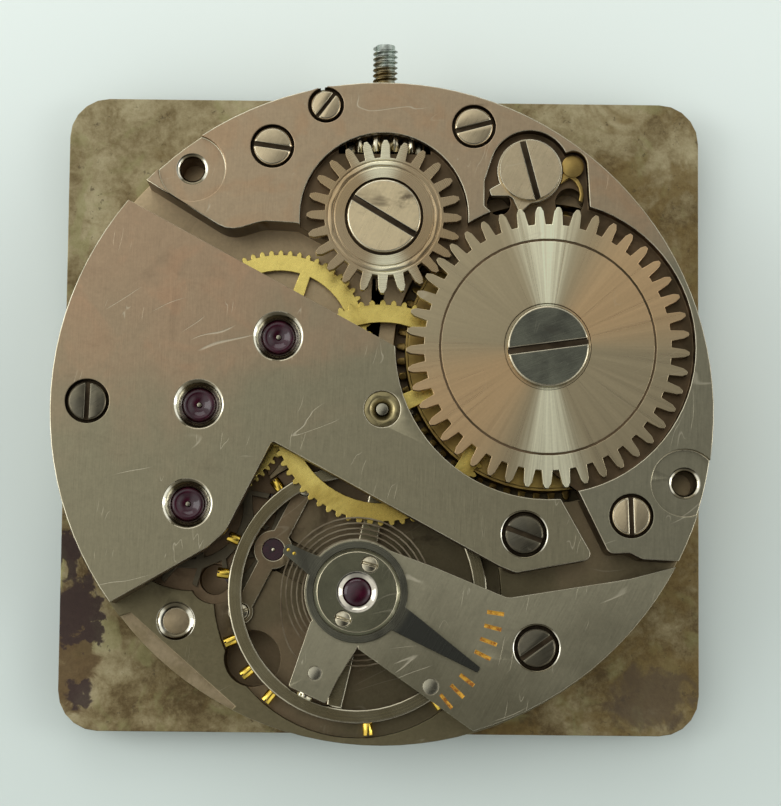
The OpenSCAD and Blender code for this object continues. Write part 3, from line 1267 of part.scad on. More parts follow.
main_plate();
dial();
dial_foot_screws();
barrel_bridge();
train_bridge();
balance_cock();
pallet_bridge();
bridge_screws();
small_screws();
plate_pins();
barrel_drum();
barrel_cover();
barrel_arbor();
mainspring();
ratchet_wheel();
ratchet_screw();
crown_wheel();
crown_wheel_core();
crown_wheel_screw();
click();
click_spring();
click_screw();
centre_wheel();
centre_arbor();
centre_bushes();
third_wheel();
third_arbor();
fourth_wheel();
fourth_arbor();
escape_wheel();
escape_arbor();
train_jewels();
pallet_fork();
pallet_stones();
pallet_arbor();
balance_wheel();
balance_screws();
balance_staff();
roller_table();
roller_jewel();
hairspring();
collet();
stud();
regulator();
curb_pins();
end_piece();
balance_jewels();
lower_end_plate();
winding_stem();
winding_pinion();
sliding_pinion();
setting_lever();
setting_lever_screw();
yoke();
yoke_spring();
setting_lever_spring();
setting_wheel();
minute_wheel();
cannon_pinion();
hour_wheel();
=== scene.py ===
"""Looks of a hand-wound watch movement, seen from its bridge side.

Every piece is in metres in the part's own frame: the origin on the axis of the hands in
the plane of the dial's front, +Z towards the bridges and +Y out along the winding stem.
Sizes below are in millimetres, unless they say otherwise.
"""

import json
import logging
import math
from dataclasses import dataclass
from enum import Enum
from functools import lru_cache
from typing import Any, Callable, Mapping, Optional, Sequence, Union

import bpy
from mathutils import Matrix, Vector

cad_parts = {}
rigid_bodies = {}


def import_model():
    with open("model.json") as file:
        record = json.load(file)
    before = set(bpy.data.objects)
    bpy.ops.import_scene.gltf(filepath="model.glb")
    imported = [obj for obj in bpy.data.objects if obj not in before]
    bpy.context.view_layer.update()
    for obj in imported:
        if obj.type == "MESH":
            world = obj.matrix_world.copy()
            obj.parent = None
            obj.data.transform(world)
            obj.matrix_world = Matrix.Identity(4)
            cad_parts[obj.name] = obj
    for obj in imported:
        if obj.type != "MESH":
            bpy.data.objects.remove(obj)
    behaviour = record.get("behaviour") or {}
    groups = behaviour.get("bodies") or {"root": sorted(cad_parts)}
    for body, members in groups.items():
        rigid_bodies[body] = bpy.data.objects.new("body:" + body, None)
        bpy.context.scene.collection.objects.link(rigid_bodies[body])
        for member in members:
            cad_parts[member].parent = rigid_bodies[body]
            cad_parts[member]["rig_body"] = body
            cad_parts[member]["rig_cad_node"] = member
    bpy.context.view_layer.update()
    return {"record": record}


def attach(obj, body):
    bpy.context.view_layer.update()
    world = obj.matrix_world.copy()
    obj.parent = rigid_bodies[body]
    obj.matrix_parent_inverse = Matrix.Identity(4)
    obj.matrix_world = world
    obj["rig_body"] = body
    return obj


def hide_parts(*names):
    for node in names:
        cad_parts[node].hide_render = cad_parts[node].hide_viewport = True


LOG = logging.getLogger("movement")
MM = 0.001

Colour = tuple[float, float, float, float]
Point = tuple[float, float]
Piece = bpy.types.Object


def paint(red: float, green: float, blue: float) -> Colour:
    """Turns a colour as it is seen, from 0 to 255, into the values that a shader takes.

    Args:
        red: Red, 0 to 255.
        green: Green, 0 to 255.
        blue: Blue, 0 to 255.

    Returns:
        The linear colour with full opacity.
    """

    def linear(channel: float) -> float:
        """One channel, made linear."""
        c = channel / 255
        return c / 12.92 if c <= 0.04045 else ((c + 0.055) / 1.055) ** 2.4

    return (linear(red), linear(green), linear(blue), 1.0)


def toward(angle: float, distance: float) -> Vector:
    """The point at that distance in millimetres from the origin, in that direction.

    Args:
        angle: Direction in degrees from +X.
        distance: Distance in millimetres.

    Returns:
        The point as a vector of two numbers.
    """
    return Vector((math.cos(math.radians(angle)), math.sin(math.radians(angle)))) * distance


def gap(at: Vector, place: Point) -> float:
    """Distance in millimetres from a corner to a place, seen from above."""
    return math.hypot(at.x - place[0], at.y - place[1])


def nearest(at: Vector, places: Sequence[Point]) -> float:
    """Distance in millimetres from a corner to the nearest of some places."""
    return min(gap(at, place) for place in places)


def is_upright(normal: Vector) -> bool:
    """Whether a face stands upright, like the wall of a recess."""
    return abs(normal.z) < 0.2


class Places:
    """Places that several pieces share, in millimetres, seen from above."""

    BARREL: Point = (5.85, 2.29)
    CROWN: Point = (0.0, 6.89)
    CLICK: Point = (5.18, 8.6)
    BALANCE: Point = (-0.81, -6.45)
    PALLETS: Point = (-3.8455, -4.907)
    JEWELS: Sequence[Point] = ((-3.7, 2.55), (-6.47, 0.11), (-6.81, -3.4))
    BRIGHT_SCREWS: Sequence[Point] = ((5.04, -4.36), (5.49, -8.33))
    GREY_SCREWS: Sequence[Point] = ((-10.4, 0.18), *BRIGHT_SCREWS)
    BRIDGE_SCREWS: Sequence[Point] = ((-4.0, 9.36), (3.17, 10.15), (8.8, -3.68), *GREY_SCREWS)
    LEVER_SCREW: Point = (-2.11, 10.87)
    CASE_HOLES: Sequence[Point] = ((-6.85, 8.55), (10.7, -2.5))
    FOOT: Point = (-7.29, -7.5)


class Signal:
    """A node's output that takes part in Python arithmetic as Math nodes."""

    def __init__(self, sheet: "Sheet", socket: bpy.types.NodeSocket) -> None:
        """Keeps the tree and the socket.

        Args:
            sheet: The node tree that the socket belongs to.
            socket: The output socket.
        """
        self.sheet = sheet
        self.socket = socket

    def _math(self, operation: str, *values: "Number") -> "Signal":
        """The result of one Math node on these values."""
        return self.sheet.node("ShaderNodeMath", {"operation": operation}, dict(enumerate(values)))

    def __add__(self, other: "Number") -> "Signal":
        """Sum with a number or another signal."""
        return self._math("ADD", self, other)

    def __radd__(self, other: "Number") -> "Signal":
        """Sum with a number that comes first."""
        return self._math("ADD", other, self)

    def __sub__(self, other: "Number") -> "Signal":
        """Difference."""
        return self._math("SUBTRACT", self, other)

    def __rsub__(self, other: "Number") -> "Signal":
        """Difference from a number that comes first."""
        return self._math("SUBTRACT", other, self)

    def __mul__(self, other: "Number") -> "Signal":
        """Product."""
        return self._math("MULTIPLY", self, other)

    def __rmul__(self, other: "Number") -> "Signal":
        """Product with a number that comes first."""
        return self._math("MULTIPLY", other, self)

    def __truediv__(self, other: "Number") -> "Signal":
        """Quotient."""
        return self._math("DIVIDE", self, other)

    def __pow__(self, other: "Number") -> "Signal":
        """Power."""
        return self._math("POWER", self, other)

    def __abs__(self) -> "Signal":
        """Size without its sign."""
        return self._math("ABSOLUTE", self)

    def bearing(self, x: "Signal") -> "Signal":
        """Angle in radians of the point (x, self)."""
        return self._math("ARCTAN2", self, x)

    def cosine(self) -> "Signal":
        """Cosine of an angle in radians."""
        return self._math("COSINE", self)

    def sine(self) -> "Signal":
        """Sine of an angle in radians."""
        return self._math("SINE", self)

    def rise(self, low: float, high: float) -> "Signal":
        """A smooth step.

        Args:
            low: Value at which the step starts.
            high: Value at which it ends.

        Returns:
            0 below low, 1 above high and a smooth curve between them.
        """
        return self.sheet.node(
            "ShaderNodeMapRange",
            {"interpolation_type": "SMOOTHSTEP"},
            {"Value": self, "From Min": low, "From Max": high},
        )

    def fall(self, low: float, high: float) -> "Signal":
        """The step turned over: 1 below low and 0 above high."""
        return 1 - self.rise(low, high)


Number = Union[float, Signal]


class Sheet:
    """One node tree, with the few calls that a finish is written in."""

    def __init__(self, tree: bpy.types.NodeTree) -> None:
        """Starts on a tree.

        Args:
            tree: The node tree of a material or of the world.
        """
        self.tree = tree

    def node(
        self,
        kind: str,
        settings: Optional[Mapping[str, Any]] = None,
        inputs: Optional[Mapping[Any, Any]] = None,
        output: Union[int, str] = 0,
    ) -> Signal:
        """Adds a node of any type.

        Args:
            kind: Type of the node.
            settings: Its properties, which are set first; "stops" are those of a ramp.
            inputs: Values or signals for its sockets, by name or number.
            output: Name or number of the socket to hand back.

        Returns:
            That socket as a signal.
        """
        made = self.tree.nodes.new(kind)
        for name, value in (settings or {}).items():
            if name == "stops":
                self._set_stops(made.color_ramp, value)
            else:
                setattr(made, name, value)
        for key, value in (inputs or {}).items():
            if isinstance(value, Signal):
                self.tree.links.new(value.socket, made.inputs[key])
            else:
                made.inputs[key].default_value = value
        return Signal(self, made.outputs[output])

    @staticmethod
    def _set_stops(ramp: bpy.types.ColorRamp, stops: Sequence[tuple[float, Colour]]) -> None:
        """Gives a ramp its stops, in rising order."""
        while len(ramp.elements) < len(stops):
            ramp.elements.new(1.0)
        for element, (position, colour) in zip(ramp.elements, stops):
            element.position = position
            element.color = colour

    def place(
        self, centre: Point = (0, 0), turn: float = 0, per_mm: Sequence[float] = (1, 1, 1)
    ) -> Signal:
        """Coordinates on the piece, counted from a point and turned.

        Args:
            centre: The point that becomes the origin, in millimetres.
            turn: Direction of the new X axis, in degrees.
            per_mm: Units for each millimetre along the three new axes.

        Returns:
            The coordinates as a vector signal.
        """
        where = self.node("ShaderNodeTexCoord", output="Object")
        return self.node(
            "ShaderNodeMapping",
            {"vector_type": "TEXTURE"},
            {
                "Vector": where,
                "Location": (centre[0] * MM, centre[1] * MM, 0),
                "Rotation": (0, 0, math.radians(turn)),
                "Scale": tuple(MM / f for f in per_mm),
            },
        )

    def noise(
        self, vector: Signal, scale: float = 1.0, detail: float = 2.0, rough: float = 0.5,
        swirl: float = 0.0,
    ) -> Signal:
        """Cloudy noise from 0 to 1.

        Args:
            vector: Coordinates to read.
            scale: Size of the noise, in clouds per unit.
            detail: Octaves of finer noise.
            rough: Share of the finer octaves.
            swirl: How far the clouds are dragged about.

        Returns:
            The noise as a signal.
        """
        return self.node(
            "ShaderNodeTexNoise",
            None,
            {
                "Vector": vector,
                "Scale": scale,
                "Detail": detail,
                "Roughness": rough,
                "Distortion": swirl,
            },
        )

    def join(self, x: Number, y: Number, z: Number = 0.0) -> Signal:
        """A vector from three values."""
        return self.node("ShaderNodeCombineXYZ", None, {0: x, 1: y, 2: z})

    def split(self, vector: Signal) -> tuple[Signal, Signal, Signal]:
        """The three values of a vector."""
        made = self.node("ShaderNodeSeparateXYZ", None, {0: vector}).socket.node
        return tuple(Signal(self, made.outputs[i]) for i in range(3))

    def blend(self, factor: Number, first: Any, second: Any, mode: str = "MIX") -> Signal:
        """Mixes two colours.

        Args:
            factor: Share of the second colour.
            first: A colour or a colour signal.
            second: A colour or a colour signal.
            mode: Blend type of the Mix node.

        Returns:
            The mixed colour.
        """
        return self.node(
            "ShaderNodeMix",
            {"data_type": "RGBA", "blend_type": mode},
            {0: factor, 6: first, 7: second},
            output=2,
        )

    def shade(self, colour: Any, value: Signal) -> Signal:
        """A colour made lighter or darker by a value round 1."""
        grey = self.node("ShaderNodeCombineColor", None, {0: value, 1: value, 2: value})
        return self.blend(1.0, colour, grey, "MULTIPLY")

    def bump(self, height: Signal, depth: float, strength: float = 1.0) -> Signal:
        """Relief from a height.

        Args:
            height: Height from 0 to 1.
            depth: What a height of 1 stands for, in millimetres.
            strength: How much of the relief shows.

        Returns:
            The normal for a shader.
        """
        return self.node(
            "ShaderNodeBump", None, {"Height": height, "Distance": depth * MM, "Strength": strength}
        )


class Grain(Enum):
    """How a metal surface was worked."""

    POLISHED = "polished"
    STRAIGHT = "straight brushing"
    RINGS = "turned rings"
    RAYS = "sunray brushing"


@dataclass(frozen=True)
class Finish:
    """A finish of the movement.

    Attributes:
        name: Name of the material.
        colour: Main colour.
        roughness: Roughness of the cleanest places.
    """

    name: str
    colour: Colour
    roughness: float = 0.3

    @lru_cache(maxsize=None)
    def material(self) -> bpy.types.Material:
        """The material of this finish, which is made the first time it is asked for.

        Returns:
            The material.
        """
        made = bpy.data.materials.new(self.name)
        made.use_nodes = True
        shader = made.node_tree.nodes["Principled BSDF"]
        for key, value in self.lay(Sheet(made.node_tree)).items():
            if isinstance(value, Signal):
                made.node_tree.links.new(value.socket, shader.inputs[key])
            else:
                shader.inputs[key].default_value = value
        return made

    def lay(self, sheet: Sheet) -> dict[str, Any]:
        """Draws the pattern.

        Args:
            sheet: The material's node tree.

        Returns:
            What goes into the shader's sockets.
        """
        raise NotImplementedError


@dataclass(frozen=True)
class Metal(Finish):
    """Worked metal: steel, nickel or brass with its grain, clouds, hairlines and stains, and a
    drift of colour by place that is partly tarnish and partly painted light and shade.

    Attributes:
        second: Colour that the clouds bring in.
        grain: How the surface was worked.
        centre: Middle of rings or rays, in millimetres.
        turn: Direction of straight grain, in degrees.
        strength: How much the grain shows in the colour.
        cloud: Clouds for each millimetre.
        drift: How fast the second colour gathers along X and Y, for each millimetre; partly tarnish
            and partly painted light and shade.
        pivot: Where both colours have the same share, in millimetres.
        blush: Colour of the tinted patches.
        blushes: How much these show.
        hairlines: How much the stray scratches show.
        stain: How dark the stains are.
        relief: Depth of the grain in millimetres.
    """

    second: Colour = (0.5, 0.5, 0.5, 1)
    grain: Grain = Grain.POLISHED
    centre: Point = (0, 0)
    turn: float = 90
    strength: float = 0.12
    cloud: float = 0.16
    drift: Point = (0.0, 0.0)
    pivot: Point = (0.0, 0.0)
    blush: Colour = (0.4, 0.25, 0.15, 1)
    blushes: float = 0.0
    hairlines: float = 0.0
    stain: float = 0.0
    relief: float = 0.002

    def lines(self, sheet: Sheet) -> Signal:
        """The grain itself, from 0 to 1."""
        if self.grain is Grain.STRAIGHT:
            return sheet.noise(sheet.place(turn=self.turn, per_mm=(1.1, 24, 6)), 1, 3, 0.6)
        at = sheet.place(self.centre)
        if self.grain is Grain.POLISHED:
            return sheet.noise(at, 7, 3, 0.6)
        x, y, _ = sheet.split(at)
        radius = (x * x + y * y) ** 0.5
        if self.grain is Grain.RINGS:
            return sheet.noise(sheet.join(radius * 16, radius * 0.01), 1, 3, 0.7)
        spoke = sheet.join(x / (radius + 0.01) * 26, y / (radius + 0.01) * 26, radius * 0.12)
        return sheet.noise(spoke, 1, 3, 0.7)

    def scratches(self, sheet: Sheet) -> Signal:
        """Fine stray scratches: 1 on a scratch and 0 off it."""
        long_at = sheet.place(turn=23, per_mm=(0.12, 0.55, 0.3))
        path = sheet.noise(long_at, 1, 1.5, 0.5, 0.4)
        line = abs(path - 0.5).fall(0.0, 0.006)
        line = line * sheet.noise(sheet.place(), 0.35, 1).rise(0.52, 0.62)
        short_at = sheet.place(turn=78, per_mm=(0.5, 2.4, 1))
        short = abs(sheet.noise(short_at, 1, 1) - 0.55).fall(0.0, 0.012)
        gate = sheet.noise(sheet.place(turn=31), 0.9, 1).rise(0.6, 0.68)
        return (line + short * gate * 0.7).rise(0.0, 1.0)

    def colouring(self, sheet: Sheet, grain: Signal) -> Any:
        """The base colour before scratches and stains.

        Args:
            sheet: The material's node tree.
            grain: The grain of the surface.

        Returns:
            A colour signal.
        """
        at = sheet.place()
        x, y, _ = sheet.split(at)
        # Drift of colour by place: partly tarnish, partly painted light and shade.
        lean = (x - self.pivot[0]) * self.drift[0] + (y - self.pivot[1]) * self.drift[1]
        clouds = (sheet.noise(at, self.cloud, 3, 0.55, 0.6) + lean).rise(0.3, 0.7)
        colour = sheet.blend(clouds, self.colour, self.second)
        if self.blushes > 0:
            patch = sheet.noise(sheet.place(turn=37), 0.42, 3, 0.6, 0.9).rise(0.48, 0.66)
            colour = sheet.blend(patch * (1 - clouds) * self.blushes, colour, self.blush)
        specks = sheet.noise(at, 9, 4, 0.7)
        freckles = sheet.noise(at, 2.6, 4, 0.65)
        tone = (grain - 0.5) * (self.strength * 2) + (specks - 0.5) * 0.3 + (freckles - 0.5) * 0.22
        return sheet.shade(colour, tone + 1)

    def lay(self, sheet: Sheet) -> dict[str, Any]:
        """Grain, clouds, scratches and stains.

        Args:
            sheet: The material's node tree.

        Returns:
            What goes into the shader's sockets.
        """
        grain = self.lines(sheet)
        colour = self.colouring(sheet, grain)
        rough = (grain - 0.5) * 0.16 + self.roughness
        height = grain
        if self.stain > 0:
            blot = sheet.noise(sheet.place(turn=12), 0.55, 4, 0.62, 0.8).rise(0.56, 0.74)
            colour = sheet.blend(blot * self.stain, colour, paint(58, 47, 38))
            rough = rough + blot * (0.25 * self.stain)
        if self.hairlines > 0:
            marks = self.scratches(sheet) * self.hairlines
            colour = sheet.blend(marks, colour, paint(214, 205, 180))
            height = height - marks * 1.6
        return {
            "Base Color": colour,
            "Metallic": 1.0,
            "Roughness": rough,
            "Normal": sheet.bump(height, self.relief),
        }


@dataclass(frozen=True)
class SunrayPaintedSheen(Metal):
    """Steel brushed out from its middle, with painted light in its colour: a painted highlight in a
    bright bow along one line, a painted tint in the sectors across it, and a painted brightening by
    place.

    Attributes:
        flash: Colour of the bright bow.
        flash_turn: Direction of the bright bow, in degrees.
        flash_width: Half width of the bow, as the sine of its angle.
        glow: Warm colour of the sectors between.
        glow_turn: Direction of the warm sectors, in degrees.
        fade: How fast the bow brightens along X and Y, for each millimetre.
    """

    flash: Colour = (0.6, 0.6, 0.5, 1)
    flash_turn: float = 92
    flash_width: float = 0.42
    glow: Colour = (0.4, 0.3, 0.2, 1)
    glow_turn: float = 35
    fade: Point = (0.0, 0.0)

    def colouring(self, sheet: Sheet, grain: Signal) -> Any:
        """The painted bow of light, the painted tint of the sectors, the painted brightening by
        place, and the rays.

        Args:
            sheet: The material's node tree.
            grain: The rays.

        Returns:
            A colour signal.
        """
        x, y, _ = sheet.split(sheet.place(self.centre))
        angle = y.bearing(x)
        across = abs((angle - math.radians(self.flash_turn)).sine())
        # Painted highlight: a bright bow along one direction through the middle.
        bow = across.fall(0.02, self.flash_width) * ((grain - 0.5) * 1.3 + 0.86)
        # Painted reflection: a tint of the sectors that follows the angle round the middle.
        warm = ((angle - math.radians(self.glow_turn)) * 2).cosine().rise(0.1, 1.0)
        base = sheet.blend(warm, self.colour, self.glow)
        specks = sheet.noise(sheet.place(), 11, 3, 0.6)
        tone = (grain - 0.5) * (self.strength * 2) + (specks - 0.5) * 0.16 + 1
        # Painted light: the whole wheel brightens along X and Y.
        tone = tone + x * self.fade[0] + y * self.fade[1]
        return sheet.shade(sheet.blend(bow.rise(0.0, 1.0), base, self.flash), tone)


@dataclass(frozen=True)
class RegulatorSteel(Metal):
    """Turned grey ring with a dark blued tail.

    Attributes:
        tail: Colour beyond the ring.
        ring: Radius in millimetres at which the ring ends.
    """

    tail: Colour = (0.03, 0.03, 0.03, 1)
    ring: float = 1.75

    def colouring(self, sheet: Sheet, grain: Signal) -> Any:
        """The ring's colour, and the tail's outside it.

        Args:
            sheet: The material's node tree.
            grain: The grain of the surface.

        Returns:
            A colour signal.
        """
        x, y, _ = sheet.split(sheet.place(self.centre))
        beyond = ((x * x + y * y) ** 0.5).rise(self.ring, self.ring + 0.3) * x.rise(0, 0.6)
        return sheet.blend(beyond, super().colouring(sheet, grain), self.tail)


@dataclass(frozen=True)
class SinkPaintedCrescents(Metal):
    """Turned polished sinks with a painted highlight: light crescents painted at their left and
    right, and painted shade on the walls elsewhere.

    Attributes:
        dull: Colour of the walls at the upper and lower side.
        middles: Middles of the sinks.
        reach: Reach of the largest sink.
    """

    dull: Colour = (0.2, 0.17, 0.12, 1)
    middles: Sequence[Point] = ()
    reach: float = 1.2

    def colouring(self, sheet: Sheet, grain: Signal) -> Any:
        """The painted shade on the walls and the two painted crescents of highlight.

        Args:
            sheet: The material's node tree.
            grain: The grain of the surface.

        Returns:
            A colour signal.
        """
        crescents: Number = 0.0
        for middle in self.middles:
            x, y, _ = sheet.split(sheet.place(middle))
            distance = (x * x + y * y) ** 0.5
            # Painted highlight: a light crescent at the left and right of each sink.
            crescents = distance.fall(self.reach, self.reach + 0.1) * (
                abs(x) / distance
            ).rise(0.62, 0.86) + crescents
        # Painted shade where no crescent lies.
        return sheet.blend(crescents, self.dull, super().colouring(sheet, grain))


@dataclass(frozen=True)
class Tarnish(Finish):
    """Bare dial blank, mottled by age, with rust in one corner.

    Attributes:
        rust: Middle of the rust, in millimetres.
        bloom: Middle of the pale patch above it.
        scabs: Middle and reach of the blackened places in it.
        smoke: Middle of the dark cloud in the corner across from it.
    """

    rust: Point = (-11.1, -8.0)
    bloom: Point = (-11.75, -5.6)
    scabs: Sequence[tuple[Point, float]] = (
        ((-11.0, -7.1), 0.9), ((-11.35, -5.0), 0.5), ((-10.4, -7.9), 0.4), ((-10.9, -10.2), 0.42),
    )
    smoke: Point = (9.6, -10.2)

    def spot(self, sheet: Sheet, centre: Point, stretch: Sequence[float], edge: Signal) -> Signal:
        """A ragged patch.

        Args:
            sheet: The material's node tree.
            centre: Middle of the patch, in millimetres.
            stretch: Units for each millimetre along X, Y and Z.
            edge: Noise that frays its edge.

        Returns:
            1 inside the patch and 0 outside it.
        """
        x, y, _ = sheet.split(sheet.place(centre, per_mm=stretch))
        return ((x * x + y * y) ** 0.5 + (edge - 0.5) * 2.2).fall(0.55, 1.05)

    def lay(self, sheet: Sheet) -> dict[str, Any]:
        """Mottling in three sizes, rust, smoke and lighter rubbed places.

        Args:
            sheet: The material's node tree.

        Returns:
            What goes into the shader's sockets.
        """
        at = sheet.place()
        broad = sheet.noise(at, 0.24, 3, 0.55, 0.9)
        middle = sheet.noise(at, 1.1, 4, 0.62, 0.5)
        fine = sheet.noise(at, 6.5, 5, 0.68)
        x, y, _ = sheet.split(at)
        mottle = broad * 0.44 + middle * 0.34 + fine * 0.22 + y * 0.004 - x * 0.0012
        colour = sheet.node(
            "ShaderNodeValToRGB",
            {
                "stops": [
                    (0.32, paint(60, 48, 26)),
                    (0.42, paint(92, 76, 44)),
                    (0.49, paint(122, 108, 74)),
                    (0.56, paint(146, 134, 100)),
                    (0.65, paint(168, 158, 124)),
                ]
            },
            {0: mottle},
        )
        green = sheet.noise(sheet.place(turn=50), 0.5, 3, 0.6, 1.2).rise(0.53, 0.66)
        colour = sheet.blend(green * 0.45, colour, paint(140, 138, 92))
        ochre = (sheet.noise(sheet.place(turn=15), 0.33, 4, 0.66, 0.8) + x * 0.012).rise(0.52, 0.66)
        share = ochre * 0.7
        earth = sheet.blend(fine, paint(78, 56, 18), paint(132, 112, 62))
        colour = sheet.blend(share, colour, earth)
        specks = sheet.noise(at, 3.2, 3, 0.7).rise(0.62, 0.72)
        colour = sheet.blend(specks * 0.6, colour, paint(66, 54, 36))
        smoke = self.spot(sheet, self.smoke, (0.55, 0.7, 0.2), middle)
        colour = sheet.blend(smoke * 0.6, colour, paint(84, 72, 60))
        rust = self.spot(sheet, self.rust, (1.0, 0.34, 0.2), middle)
        colour = sheet.blend(rust * 0.85, colour, sheet.shade(paint(104, 84, 56), fine + 0.5))
        pale = self.spot(sheet, self.bloom, (3.2, 0.9, 0.2), middle)
        colour = sheet.blend(pale * 0.7, colour, paint(156, 152, 102))
        scab = rust * 0
        crumb = sheet.noise(sheet.place(turn=70), 2.2, 3, 0.55, 0.4)
        for centre, reach in self.scabs:
            scab = scab + self.spot(sheet, centre, (0.8 / reach, 0.62 / reach, 0.2), crumb)
        scab = scab.rise(0.05, 0.9)
        colour = sheet.blend(scab * 0.9, colour, sheet.shade(paint(66, 52, 50), fine * 0.8 + 0.6))
        rust = (rust + scab).rise(0.0, 1.0)
        return {
            "Base Color": colour,
            "Metallic": 0.55,
            "Roughness": rust * 0.25 + fine * 0.2 + self.roughness,
            "Normal": sheet.bump(fine * 0.6 + middle * 0.4 - rust * 0.8, 0.03, 0.7),
        }


@dataclass(frozen=True)
class Ruby(Finish):
    """Polished synthetic ruby with a trace of cloud inside."""

    def lay(self, sheet: Sheet) -> dict[str, Any]:
        """Clouded red under a clear gloss.

        Args:
            sheet: The material's node tree.

        Returns:
            What goes into the shader's sockets.
        """
        cloud = sheet.noise(sheet.place(), 2.4, 3, 0.6, 0.5)
        return {
            "Base Color": sheet.blend(cloud.rise(0.35, 0.7), self.colour, paint(56, 13, 29)),
            "Roughness": cloud * 0.08 + self.roughness,
            "IOR": 1.5,
        }


@dataclass(frozen=True)
class Gilding(Finish):
    """Gold-coloured fill in the engraved strokes of the scale."""

    def lay(self, sheet: Sheet) -> dict[str, Any]:
        """Worn gilt fill.

        Args:
            sheet: The material's node tree.

        Returns:
            What goes into the shader's sockets.
        """
        worn = sheet.noise(sheet.place(), 5, 3, 0.7)
        return {
            "Base Color": sheet.blend(worn.rise(0.4, 0.65), self.colour, paint(138, 84, 32)),
            "Metallic": 0.6,
            "Roughness": worn * 0.3 + self.roughness,
        }


